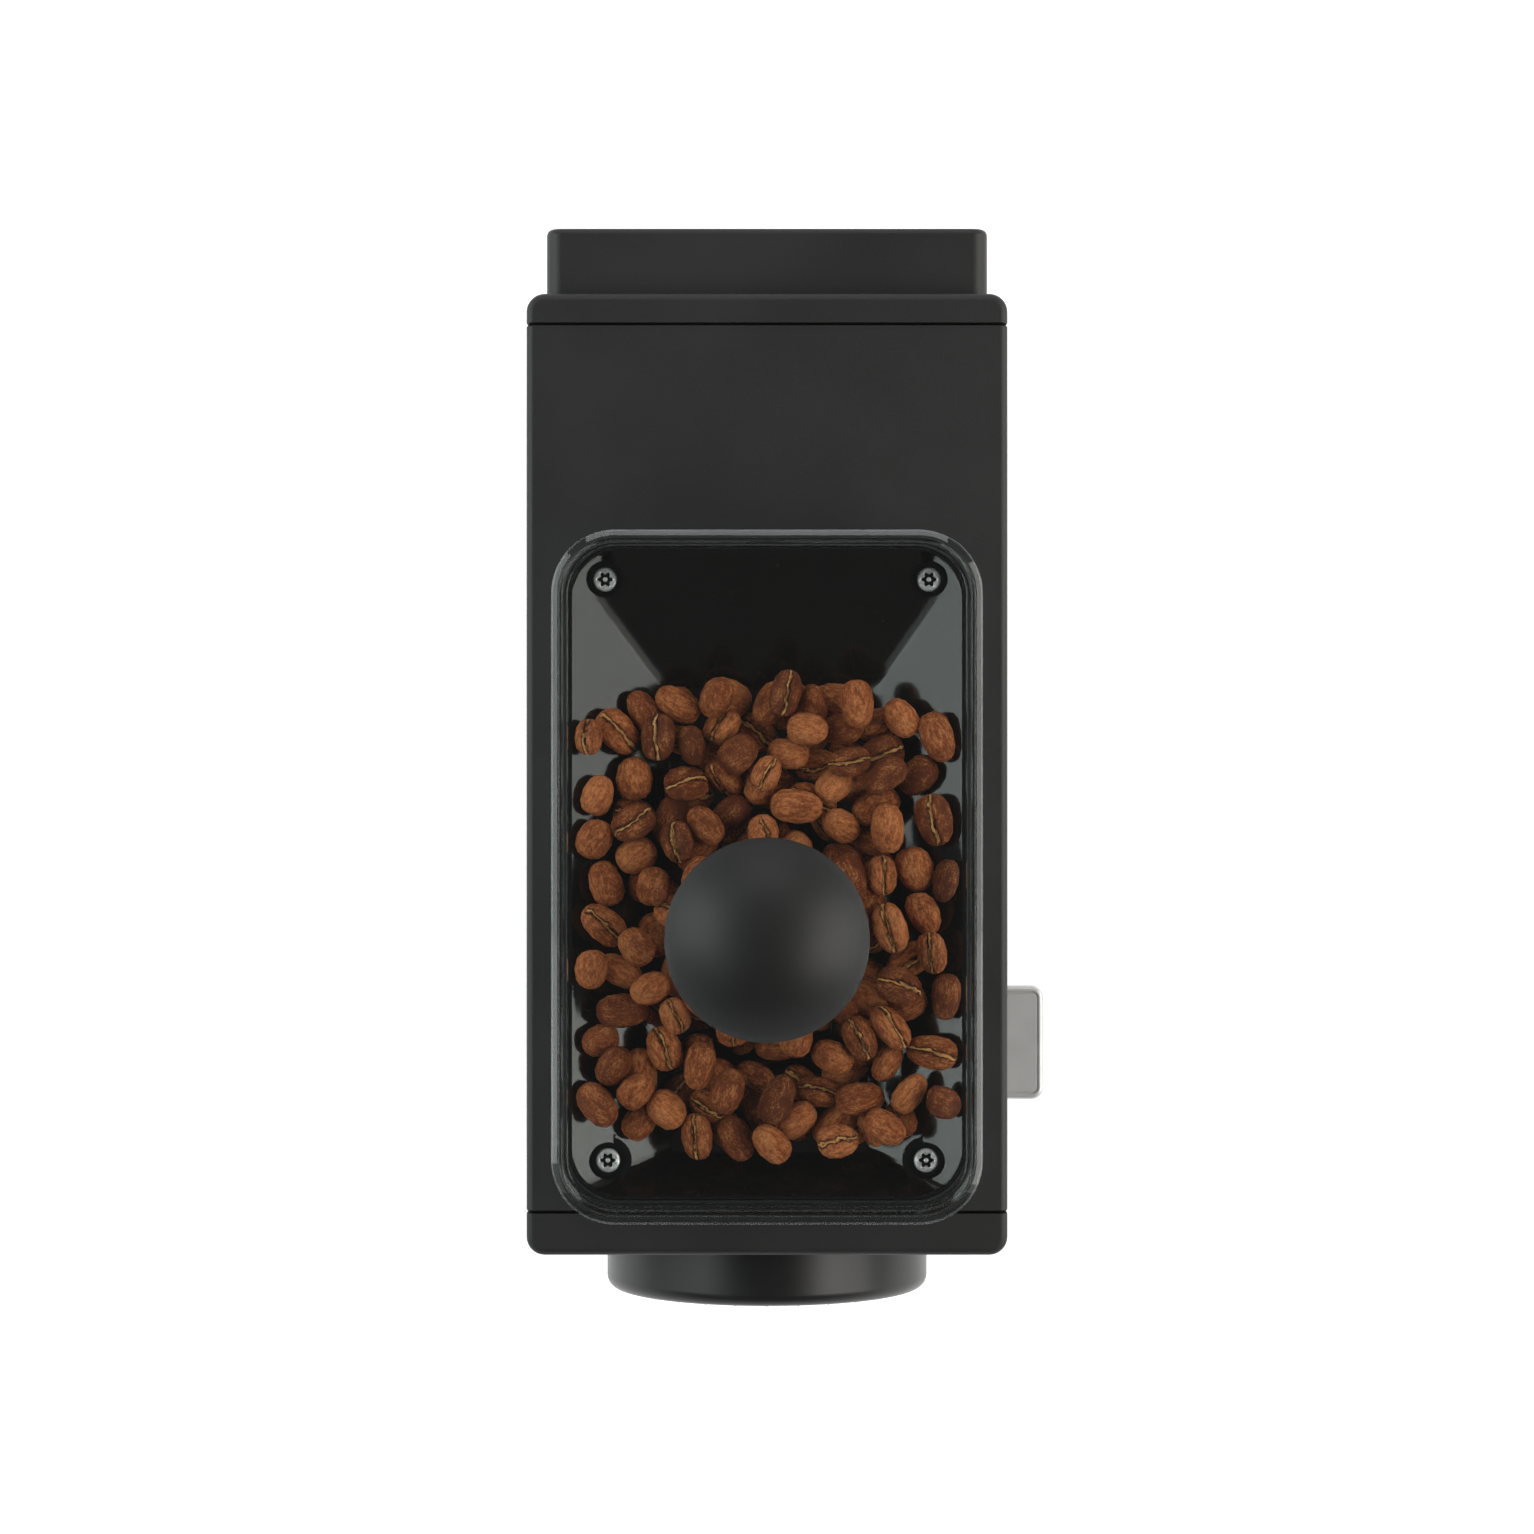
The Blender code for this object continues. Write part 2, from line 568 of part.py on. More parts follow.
def burr_screw(name, back, facing, index, origin, parent):
    seat = back + facing * (0.002 + GAP)
    tip = back - facing * 0.0024
    bm = bmesh.new()
    turned(bm, [(0.0015, tip), (0.0015, seat), (0.0029, seat), (0.0026, seat + facing * 0.0015)],
           12, burr_screw_spot(index))
    make(name, bm, "steel", origin, parent)


def drive_train():
    """Everything that turns with the motor: rotor, fan, shaft, auger, hub and rotating burr."""
    spin = pivot("drive_axis", (0, 0, AXIS_Z))
    origin = tuple(spin.location)
    hub_rear, hub_front = -0.0740, ROTATING_BURR_REAR + GAP

    bm = bmesh.new()
    turned(bm, [(SHAFT_RADIUS, -0.0835), (SHAFT_RADIUS, 0.0945)], 16)
    make("drive_shaft", bm, "steel", origin, spin)

    # The auger's flight: the radius rises to a ridge that runs along a helix
    steps, rows, low, high = 16, 30, -0.0736, -0.0078
    loops = []
    for j in range(rows + 1):
        y = low + (high - low) * j / rows
        points = []
        for i in range(steps):
            angle = 2 * math.pi * i / steps
            phase = (angle / (2 * math.pi) - y / AUGER_PITCH) % 1
            ridge = max(0, 1 - abs(phase - 0.5) * 5)
            radius = AUGER_CORE + (AUGER_RADIUS - AUGER_CORE) * math.sqrt(ridge)
            points.append((radius * math.cos(angle), y, AXIS_Z + radius * math.sin(angle)))
        loops.append(points)
    bore = [at(circle(SHAFT_RADIUS + GAP, steps, (0, AXIS_Z)), y, "Y") for y in (high, low)]
    bm = bmesh.new()
    skin(bm, loops + bore, ring=True)
    make("auger", bm, "steel", origin, spin)

    # The hub: a boss and a rim joined by three spokes, so that beans pass between them
    bm = bmesh.new()
    turned(bm, [(0.0310, hub_front), (0.0310, hub_rear), (0.0205, hub_rear), (0.0205, hub_front)], 36, bore=True)
    hub = make("burr_hub", bm, "aluminium", origin, spin)
    bm = bmesh.new()
    inner, outer, spoke_half = 0.0060, 0.0215, 0.0025
    for i in range(BURR_SCREWS):
        angle = math.radians(90 + 360 * i / BURR_SCREWS)
        along, across = (math.cos(angle), math.sin(angle)), (-math.sin(angle), math.cos(angle))
        outline = [(along[0] * r + across[0] * s * spoke_half, AXIS_Z + along[1] * r + across[1] * s * spoke_half)
                   for r, s in ((inner, -1), (outer, -1), (outer, 1), (inner, 1))]
        prism(bm, outline, hub_rear + 0.0002, hub_front - 0.0002, "Y")
    combine(hub, "hub_spokes", bm, "UNION")
    bm = bmesh.new()
    turned(bm, [(SHAFT_RADIUS + GAP, hub_front), (0.0080, hub_front), (0.0080, hub_rear),
                (SHAFT_RADIUS + GAP, hub_rear)], 18, bore=True)
    combine(hub, "hub_boss", bm, "UNION")
    bm = bmesh.new()
    for i in range(BURR_SCREWS):
        turned(bm, [(0.0018, hub_front - 0.001), (0.0018, hub_rear + 0.001)], 12, burr_screw_spot(i))
    combine(hub, "hub_screw_holes", bm)

    burr("rotating_burr", ROTATING_BURR_REAR, -1, origin, spin)
    for i in range(BURR_SCREWS):
        burr_screw(f"rotating_burr_screw_{i + 1}", ROTATING_BURR_REAR, -1, i, origin, spin)

    bm = bmesh.new()
    turned(bm, [(SHAFT_RADIUS + GAP, 0.0250), (0.0100, 0.0250), (0.0200, 0.0300), (0.0200, 0.0620),
                (0.0110, 0.0660), (0.0110, 0.0760), (SHAFT_RADIUS + GAP, 0.0760)], 24, bore=True)
    make("rotor", bm, "copper", origin, spin)

    # Fan: blades on a hub behind the motor
    blades, tip, low, high = 7, 0.0270, 0.0872, 0.0935
    bm = bmesh.new()
    turned(bm, [(SHAFT_RADIUS + GAP, low), (0.0100, low), (0.0100, high), (SHAFT_RADIUS + GAP, high)], 21, bore=True)
    fan = make("cooling_fan", bm, "black_plastic", origin, spin)
    bm = bmesh.new()
    for i in range(blades):
        angle = 2 * math.pi * i / blades
        loops = []
        for y, lag in ((low + 0.0004, 0.0), (high - 0.0004, 0.32)):
            corners = [(0.0085, angle + lag), (tip, angle + lag), (tip, angle + lag + 0.06), (0.0085, angle + lag + 0.19)]
            loops.append([(r * math.cos(a), y, AXIS_Z + r * math.sin(a)) for r, a in corners])
        skin(bm, loops)
    combine(fan, "fan_blades", bm, "UNION")


def adjuster():
    """The carrier of the fixed burr. It moves along Y on the dial's thread, without turning."""
    slide = pivot("adjuster_axis", (0, -0.0945, AXIS_Z))
    origin = tuple(slide.location)
    plate_front, plate_rear, neck_front = -0.0962, FIXED_BURR_FRONT - GAP, -0.1035
    bm = bmesh.new()
    turned(bm, [(0.0104, neck_front), (0.0180, neck_front), (0.0180, plate_front), (0.0335, plate_front),
                (0.0335, plate_rear), (0.0104, plate_rear)], FINE, bore=True)
    carrier = make("adjust_carrier", bm, "aluminium", origin, slide)
    bm = bmesh.new()
    for i in range(BURR_SCREWS):
        turned(bm, [(0.0018, plate_rear - 0.0027), (0.0018, plate_rear + 0.001)], 12, burr_screw_spot(i))
    combine(carrier, "carrier_screw_holes", bm)
    burr("fixed_burr", FIXED_BURR_FRONT, 1, origin, slide)
    for i in range(BURR_SCREWS):
        burr_screw(f"fixed_burr_screw_{i + 1}", FIXED_BURR_FRONT, 1, i, origin, slide)


def dial():
    turn = pivot("dial_axis", (0, DIAL_FRONT, AXIS_Z))
    origin = tuple(turn.location)
    back, r, f = FRONT_FACE - GAP, DIAL_RADIUS, DIAL_FRONT
    inside = f + 0.0033
    edge = [(r - 0.003, f), (r - 0.0015, f + 0.0004), (r - 0.0004, f + 0.0015), (r, f + 0.003)]
    bm = bmesh.new()
    turned(bm, edge + [(r, back), (r - 0.0035, back), (r - 0.0035, inside), (0.0100, inside), (0.0100, -0.0975)], FINE)
    make("dial", bm, "black_plastic", origin, turn)

    # A sprung plunger in the dial clicks over the ring's teeth
    bm = bmesh.new()
    low, high, y = AXIS_Z + 0.0104, AXIS_Z + 0.0262, -0.1095
    turned(bm, [(0.0016, low), (0.0016, high - 0.0008), (0.0008, high)], 12, (0, y), "Z")
    make("detent_plunger", bm, "brass", origin, turn)

    count = 2 * DETENTS
    outer = circle(0.0315, count, (0, AXIS_Z))
    inner = [(x * (0.0280 if i % 2 else 0.0272) / 0.0315, AXIS_Z + (z - AXIS_Z) * (0.0280 if i % 2 else 0.0272) / 0.0315)
             for i, (x, z) in enumerate(outer)]
    bm = bmesh.new()
    tube(bm, outer, inner, back - 0.0035, back, "Y")
    make("detent_ring", bm, "steel")


# Motor


def motor():
    wall, front, rear = 0.0022, MOTOR_FRONT, MOTOR_REAR
    bearing = 0.0085
    bm = bmesh.new()
    turned(bm, [(MOTOR_RADIUS, front), (MOTOR_RADIUS, rear), (bearing + GAP, rear), (bearing + GAP, rear - 0.004),
                (MOTOR_RADIUS - wall, rear - 0.004), (MOTOR_RADIUS - wall, front)], FINE, bore=True)
    make("motor_can", bm, "steel")

    bm = bmesh.new()
    turned(bm, [(MOTOR_RADIUS - wall - GAP, front + 0.0006), (MOTOR_RADIUS - wall - GAP, front + 0.0045),
                (bearing + GAP, front + 0.0045), (bearing + GAP, front + 0.0006)], 36, bore=True)
    make("motor_end_plate", bm, "aluminium")

    for name, low in (("motor_front_bearing", front + 0.0006), ("motor_rear_bearing", rear - 0.0040)):
        bm = bmesh.new()
        turned(bm, [(SHAFT_RADIUS + GAP, low), (bearing, low), (bearing, low + 0.0039),
                    (SHAFT_RADIUS + GAP, low + 0.0039)], 20, bore=True)
        make(name, bm, "steel")

    # Two curved magnets, left and right
    outer, inner, low, high = MOTOR_RADIUS - wall - GAP, 0.0212, 0.0290, 0.0640
    for name, start in (("field_magnet_right", -55), ("field_magnet_left", 125)):
        section = arc((0, AXIS_Z), outer, start, start + 110, 8) + arc((0, AXIS_Z), inner, start + 110, start, 8)
        bm = bmesh.new()
        prism(bm, section, low, high, "Y")
        make(name, bm, "steel")


# Chute, knocker and cup


def chute():
    wall = 0.0015

    def ring(inset, y0, y1, z):
        return at(rectangle((-0.0135 + inset, y0 + inset), (0.0135 - inset, y1 - inset)), z)

    top, low = (-0.0930, -0.0745), (-0.0775, -0.0575)
    bm = bmesh.new()
    skin(bm, [ring(0, *top, CHUTE_TOP), ring(0, *low, CHUTE_LOW), ring(wall, *low, CHUTE_LOW),
              ring(wall, *top, CHUTE_TOP)], ring=True)
    make("chute", bm, "black_plastic")


def coil_spring(bm, start, axis, coil, wire, turns, length, sides=5, per_turn=10):
    """A round wire along a helix, as a skin over rings of points."""
    loops = []
    for j in range(turns * per_turn + 1):
        angle = 2 * math.pi * j / per_turn
        w = length * j / (turns * per_turn)
        loop = []
        for k in range(sides):
            around = 2 * math.pi * k / sides
            radius = coil + wire * math.cos(around)
            offset = place(radius * math.cos(angle), radius * math.sin(angle), w + wire * math.sin(around), axis)
            loop.append(tuple(a + b for a, b in zip(start, offset)))
        loops.append(loop)
    skin(bm, loops)


def knocker():
    px, py, pz = KNOCKER_PIVOT
    top = BODY_LOW - GAP
    wall, roof = 0.002, 0.0018
    half = KNOCKER_HALF + 0.0006
    bm = bmesh.new()
    section = [(py - half - wall, 0.099), (py - half - wall, top), (py + half + wall, top), (py + half + wall, 0.099),
               (py + half, 0.099), (py + half, top - roof), (py - half, top - roof), (py - half, 0.099)]
    prism(bm, section, 0.015, 0.046, "X")
    bracket = make("knocker_bracket", bm, "black_plastic")
    reach = half + wall
    pin = 0.0015
    bm = bmesh.new()
    turned(bm, [(pin + GAP, py - reach - 0.001), (pin + GAP, py + reach + 0.001)], 16, (px, pz))
    combine(bracket, "pin_holes", bm)

    bm = bmesh.new()
    turned(bm, [(pin, py - reach - 0.0004), (pin, py + reach + 0.0004)], 16, (px, pz))
    make("knocker_pin", bm, "steel")

    swing = pivot("knocker_axis", KNOCKER_PIVOT)
    thick = KNOCKER_THICK
    corners = (0, 0.003, 0.003, 0)
    bm = bmesh.new()
    outline = rectangle((px - 0.010, py - KNOCKER_HALF), (KNOCKER_END, py + KNOCKER_HALF), corners)
    prism(bm, outline, pz - thick / 2, pz + thick / 2)
    lever = make("knocker_lever", bm, "chrome", KNOCKER_PIVOT, swing)
    bm = bmesh.new()
    turned(bm, [(0.0034, py - KNOCKER_HALF), (0.0034, py + KNOCKER_HALF)], 20, (px, pz))
    combine(lever, "lever_hub", bm, "UNION")
    bm = bmesh.new()
    turned(bm, [(pin + GAP, py - KNOCKER_HALF - 0.001), (pin + GAP, py + KNOCKER_HALF + 0.001)], 16, (px, pz))
    combine(lever, "lever_bore", bm)
    bm = bmesh.new()
    box(bm, (px - 0.0048, py - 0.0032, pz - 0.006), (px + 0.0048, py + 0.0032, pz + 0.006))
    combine(lever, "spring_notch", bm)

    bm = bmesh.new()
    length = 0.0050
    coil_spring(bm, (px, py - length / 2, pz), "Y", 0.0026, 0.0005, 3, length)
    make("knocker_spring", bm, "steel")


def catch_cup():
    slide = pivot("cup_axis", (0, CUP_Y, BASE_TOP))
    r, wall, low = CUP_RADIUS, CUP_WALL, BASE_TOP
    bm = bmesh.new()
    turned(bm, [(r - 0.0035, low), (r - 0.001, low + 0.0012), (r, low + 0.004), (r, CUP_TOP), (r - wall, CUP_TOP),
                (r - wall, low + 0.0055), (r - wall - 0.003, low + 0.0022)], FINE, (0, CUP_Y), "Z")
    make("catch_cup", bm, "black_paint", tuple(slide.location), slide)


def main():
    for item in list(bpy.data.objects):
        bpy.data.objects.remove(item, do_unlink=True)
    base()
    leg()
    start_button()
    control_board()
    body()
    rear_cover()
    hopper_tray()
    hopper_wall_and_lid()
    burr_chamber()
    drive_train()
    adjuster()
    dial()
    motor()
    chute()
    knocker()
    catch_cup()


main()
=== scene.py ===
# %% [markdown]
# # A burr coffee grinder, seen from straight above
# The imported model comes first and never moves: it holds the real sizes, the joints and the inner machine.
# Each cell adds visible pieces or finishes in its frame, in metres, with +Z up. The bodies move at other
# poses, so each piece says which body it rides on.

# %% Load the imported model
import math

import bpy
import numpy as np
from mathutils import Matrix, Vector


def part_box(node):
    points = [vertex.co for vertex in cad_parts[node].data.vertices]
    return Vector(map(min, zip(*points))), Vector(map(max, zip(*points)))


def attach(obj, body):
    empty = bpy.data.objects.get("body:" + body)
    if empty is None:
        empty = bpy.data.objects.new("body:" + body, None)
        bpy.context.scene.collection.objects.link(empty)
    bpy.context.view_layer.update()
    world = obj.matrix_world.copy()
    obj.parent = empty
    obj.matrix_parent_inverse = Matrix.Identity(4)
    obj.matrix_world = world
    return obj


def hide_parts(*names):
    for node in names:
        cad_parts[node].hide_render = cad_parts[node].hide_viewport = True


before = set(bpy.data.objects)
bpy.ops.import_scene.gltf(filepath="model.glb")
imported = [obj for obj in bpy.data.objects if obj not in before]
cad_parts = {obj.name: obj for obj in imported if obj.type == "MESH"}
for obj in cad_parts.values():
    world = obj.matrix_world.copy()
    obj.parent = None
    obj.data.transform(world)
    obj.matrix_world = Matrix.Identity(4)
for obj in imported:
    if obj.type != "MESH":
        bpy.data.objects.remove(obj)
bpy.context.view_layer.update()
scene = bpy.context.scene


# %% [markdown]
# ## Places and sizes
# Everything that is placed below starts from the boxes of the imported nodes. Reading them here keeps the
# looks in step with the machine: if a part changes there, its surface follows.

# %% Read the boxes of the nodes
CROSSING = {"X": [1, 2], "Y": [0, 2], "Z": [0, 1]}


def span(node):
    """A node's lowest and highest corner, as two arrays of X, Y and Z."""
    low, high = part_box(node)
    return np.array(low), np.array(high)


def middle(node, axis):
    """The middle of a node's box, as the two coordinates that cross an axis."""
    return (sum(span(node)) / 2)[CROSSING[axis]]


tube_low, tube_high = span("body_tube")
rim_low, rim_high = span("hopper_wall")
tray_low, tray_high = span("hopper_tray")
lid_low, lid_high = span("lid_plate")
dial_low, dial_high = span("dial")
axis_z = middle("dial", "Y")[1]
gap = 0.0003
print("body", (tube_high - tube_low).round(4), "rim", (rim_high - rim_low).round(4), "axis at z", axis_z)

# %% [markdown]
# ## Camera
# The view is straight down on the body from about a metre up, through a long lens that hides its sides.
# Colours are shown without a film curve, so a white floor is white and a dark coat stays neutral.

# %% Point the camera down
CAMERA_HEIGHT, LENS, SENSOR = 1.046, 89.84, 36.0
lens = bpy.data.cameras.new("camera")
lens.lens, lens.sensor_width = LENS, SENSOR
lens.clip_start, lens.clip_end = 0.01, 20.0
camera = bpy.data.objects.new("camera", lens)
camera.location = (0.0, 0.0, CAMERA_HEIGHT)
scene.collection.objects.link(camera)
scene.camera = camera
scene.view_settings.view_transform = "Standard"

# %% [markdown]
# ## Light
# A large soft box on either side, slightly cool on the left and warm on the right: the glossy tray's side
# slopes mirror them. The lid's sloping edge mirrors a strip that stands higher behind. A weak box behind and
# one at each front corner fill the darker slopes and the valleys. The room's walls are pale and its ceiling
# is dark, because the flat lid mirrors the ceiling straight into the lens.

# %% Hang the soft boxes
TABLE_MIDDLE = np.array((0.0, -0.02, 0.2))
COOL, WARM, NEUTRAL = (0.93, 1.0, 0.97), (1.0, 0.98, 0.93), (0.98, 0.98, 1.0)


def soft_box(name, place, size, radiance, tint):
    """A rectangular lamp that faces the table. A lamp of radiance L and area A needs pi * L * A watts."""
    lamp = bpy.data.lights.new(name, "AREA")
    lamp.shape, lamp.size, lamp.size_y = "RECTANGLE", size[0], size[1]
    lamp.energy = math.pi * radiance * size[0] * size[1]
    lamp.color = tint
    holder = bpy.data.objects.new(name, lamp)
    back = np.array(place) - TABLE_MIDDLE
    back /= np.linalg.norm(back)
    side = np.cross((0.0, 1.0, 0.0), back)
    side /= np.linalg.norm(side)
    stand = np.eye(4)
    stand[:3, :3] = np.stack([side, np.cross(back, side), back], 1)
    stand[:3, 3] = place
    holder.matrix_world = Matrix(stand.tolist())
    scene.collection.objects.link(holder)


soft_box("left_box", (-1.2, 0.25, 1.0), (1.05, 1.1), 3.3, COOL)
soft_box("right_box", (1.2, 0.0, 0.97), (1.05, 1.3), 3.4, WARM)
soft_box("rear_box", (0.0, 1.35, 0.94), (1.0, 0.6), 0.95, WARM)
soft_box("rear_strip", (0.0, 1.35, 1.45), (1.5, 0.30), 3.0, NEUTRAL)
soft_box("left_corner", (-0.89, -0.42, 1.25), (0.66, 0.66), 0.9, COOL)
soft_box("right_corner", (0.89, -0.42, 1.25), (0.66, 0.66), 1.3, WARM)

# %% Walls and ceiling of the room
world = bpy.data.worlds.new("studio")
world.use_nodes = True
sky = world.node_tree
direction = sky.nodes.new("ShaderNodeTexCoord")
split = sky.nodes.new("ShaderNodeSeparateXYZ")
fade = sky.nodes.new("ShaderNodeMapRange")
fade.interpolation_type = "SMOOTHSTEP"
CEILING, WALLS, WALL_FOOT, WALL_HEAD = 0.07, 0.85, 0.06, 0.42
levels = {"From Min": WALL_FOOT, "From Max": WALL_HEAD, "To Min": WALLS, "To Max": CEILING}
for socket, value in levels.items():
    fade.inputs[socket].default_value = value
sky.links.new(direction.outputs["Generated"], split.inputs[0])
sky.links.new(split.outputs["Z"], fade.inputs["Value"])
sky.links.new(fade.outputs["Result"], sky.nodes["Background"].inputs["Strength"])
sky.nodes["Background"].inputs["Color"].default_value = (1.0, 1.0, 1.0, 1.0)
scene.world = world

# %% [markdown]
# ## Shapes from arrays
# Nearly every piece is a stack of outlines: a rectangle with round corners, or a circle, that is carried
# along an axis and drawn in a little at its edges. A few holes are then cut out of the finished skins.


# %% Outlines and rounded edges
def outline(low, high, radii, corner=8, sides=(0, 0)):
    """A rectangle with round corners, counter-clockwise from its low corner: each corner is a quarter circle
    centre + r (cos a, sin a), and sides holds how many extra points go on each straight side."""
    low, high, radii = np.asarray(low, float), np.asarray(high, float), np.broadcast_to(radii, 4)
    corners = np.array([low, (high[0], low[1]), high, (low[0], high[1])])
    inward = np.array([(1, 1), (-1, 1), (-1, -1), (1, -1)])
    parts = []
    for k in range(4):
        a = math.radians(180 + 90 * k) + np.linspace(0, math.pi / 2, corner + 1)
        arc = corners[k] + radii[k] * (inward[k] + np.stack([np.cos(a), np.sin(a)], -1))
        parts.append(arc)
    joined = []
    for k in range(4):
        here, following = parts[k], parts[(k + 1) % 4]
        t = np.linspace(0, 1, sides[k % 2] + 2)[1:-1, None]
        joined += [here, here[-1] * (1 - t) + following[0] * t]
    return np.concatenate(joined)


def ring_of(radius, count, centre=(0.0, 0.0)):
    """A circle: centre + radius (cos a, sin a)."""
    a = np.linspace(0, 2 * math.pi, count, endpoint=False)
    return np.stack([np.cos(a), np.sin(a)], -1) * np.reshape(radius, (-1, 1)) + np.asarray(centre)


def rounding(radius, steps=6):
    """A quarter circle as (drawn in by, short of the edge by): r (1 - cos a), r (1 - sin a)."""
    a = np.linspace(0, math.pi / 2, steps + 1)
    return np.stack([radius * (1 - np.cos(a)), radius * (1 - np.sin(a))], -1)


def stations(ends, edges, steps=6):
    """Pairs (drawn in by, place) for a block between two ends with both edges rounded."""
    rise = rounding(edges[0], steps)[::-1] + (0, ends[0])
    fall = rounding(edges[1], steps) * (1, -1) + (0, ends[1])
    return np.concatenate([rise, fall])


def lay(flat, along, axis):
    """Outline points (u, v) and a place along an axis, as X, Y and Z. Y is crossed by X and Z."""
    flat = np.asarray(flat, float)
    w = np.broadcast_to(along, flat.shape[:-1])
    u, v = flat[..., 0], flat[..., 1]
    order = {"X": (w, u, v), "Y": (u, w, v), "Z": (u, v, w)}[axis]
    return np.stack(order, -1)


# %% Skins over outlines
POLE = 1e-5


def skin(loops, ring=False):
    """A grid of quads over equally long loops. It ends in two flat caps, or closes on itself in a ring."""
    loops = np.asarray(loops, float)
    rows, count = loops.shape[:2]
    r = np.arange(rows if ring else rows - 1)[:, None]
    c = np.arange(count)[None, :]
    below, above, beside = r * count, (r + 1) % rows * count, (c + 1) % count
    quads = np.stack([below + c, below + beside, above + beside, above + c], -1)
    quads = quads.reshape(-1, 4).tolist()
    if not ring:
        quads += [list(range(count))[::-1], list(range((rows - 1) * count, rows * count))]
    return loops.reshape(-1, 3), quads


def join(*shapes):
    """Several shapes as one list of points and one of faces."""
    points, faces, start = [], [], 0
    for some, polygons in shapes:
        points.append(some)
        faces += [[i + start for i in polygon] for polygon in polygons]
        start += len(some)
    return np.concatenate(points), faces


def outward(points, faces):
    """Turns a closed skin's faces outwards: its volume, the sum of a . (b x c) / 6, has to be positive."""
    corners = [(f[0], f[i], f[i + 1]) for f in faces for i in range(1, len(f) - 1)]
    a, b, c = (points[np.array(corners)[:, k]] for k in range(3))
    if np.einsum("ij,ij->", a, np.cross(b, c)) < 0:
        faces = [f[::-1] for f in faces]
    return points, faces


def solid(loops, ring=False):
    """The skin over loops with its faces outwards."""
    return outward(*skin(loops, ring))


def block(low, high, radii, ends, edges=(0, 0), axis="Z", soft=(1, 1, 1, 1), corner=8):
    """A closed block: an outline drawn in at its two rounded edges. soft says how much each side (low u,
    high u, low v, high v) draws in there."""
    low, high, soft = np.asarray(low, float), np.asarray(high, float), np.asarray(soft, float)
    loops = []
    for inset, place in stations(ends, edges):
        inner_low, inner_high = low + inset * soft[[0, 2]], high - inset * soft[[1, 3]]
        inner = np.maximum(np.broadcast_to(radii, 4) - inset, 0.0002)
        loops.append(lay(outline(inner_low, inner_high, inner, corner), place, axis))
    return solid(loops)


def box_block(node, radii, edges, **settings):
    """A block that fills a node's box, upright."""
    low, high = span(node)
    return block(low[:2], high[:2], radii, (low[2], high[2]), edges, **settings)


def turned(profile, centre, axis, count=64, ring=False):
    """A profile of (radius, place along the axis) carried around a circle. A radius of nothing is a pole."""
    return solid([lay(ring_of(max(r, POLE), count, centre), w, axis) for r, w in profile], ring)


def rod(radius, ends, centre, axis, count=64):
    """A plain cylinder between two places on its axis."""
    return turned([(radius, end) for end in ends], centre, axis, count)


# %% Meshes and objects
def mesh_of(name, shape):
    """A mesh from points and faces."""
    points, faces = shape
    mesh = bpy.data.meshes.new(name)
    mesh.from_pydata(points.tolist(), [], faces)
    mesh.update()
    return mesh


def cut(piece, shape, operation="DIFFERENCE"):
    """Takes a shape out of a piece, or adds it, and keeps the result as plain mesh."""
    tool = bpy.data.objects.new("tool", mesh_of("tool", shape))
    scene.collection.objects.link(tool)
    step = piece.modifiers.new("cut", "BOOLEAN")
    step.object, step.operation, step.solver = tool, operation, "EXACT"
    bpy.context.view_layer.update()
    evaluated = piece.evaluated_get(bpy.context.evaluated_depsgraph_get())
    result = bpy.data.meshes.new_from_object(evaluated)
    piece.modifiers.clear()
    piece.data = result
    bpy.data.objects.remove(tool)


def piece_of(name, shape, cuts=(), adds=()):
    """An object at the origin, with its place in its mesh."""
    piece = bpy.data.objects.new(name, mesh_of(name, shape))
    scene.collection.objects.link(piece)
    for extra in adds:
        cut(piece, extra, "UNION")
    for tool in cuts:
        cut(piece, tool)
    return piece


def finish_piece(piece, body, slot, material, replaces=(), angle=32, even=True):
    """Smooths a piece up to an angle, gives it its finish and puts it on its body."""
    piece.data.shade_smooth()
    piece.data.set_sharp_from_angle(angle=math.radians(angle))
    if even:
        weight = piece.modifiers.new("flat_faces_stay_flat", "WEIGHTED_NORMAL")
        weight.keep_sharp = True
    piece.data.materials.clear()
    piece.data.materials.append(material)
    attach(piece, body)
    if replaces:
        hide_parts(*replaces)
    print(f"{piece.name}: {len(piece.data.polygons)} faces")
    return piece


def add_piece(name, shape, *finish, cuts=(), adds=(), **smoothing):
    """A piece with its finish: finish_piece says what finish and smoothing hold."""
    return finish_piece(piece_of(name, shape, cuts, adds), *finish, **smoothing)


# %% [markdown]
# ## Shader maths
# Wrapping a node's output in a class lets sums of patterns be written as sums: each operator adds its Math
# node. Colours go through Mix nodes, because a Math node would turn them grey.


# %% A socket that can be added up
class Socket:
    """One output of a node, with + - * and ** that add Math nodes."""

    def __init__(self, finish, output):
        self.finish, self.output = finish, output

    def sum(self, operation, *values):
        return self.finish.node("Math", dict(enumerate(values)), operation=operation)


def operator(operation, swapped):
    """A method that adds a Math node for this socket and another value, in either order."""
    return lambda self, other: self.sum(operation, *((other, self) if swapped else (self, other)))


for sign, operation in (("add", "ADD"), ("sub", "SUBTRACT"), ("mul", "MULTIPLY"), ("pow", "POWER")):
    setattr(Socket, f"__{sign}__", operator(operation, False))
    setattr(Socket, f"__r{sign}__", operator(operation, True))


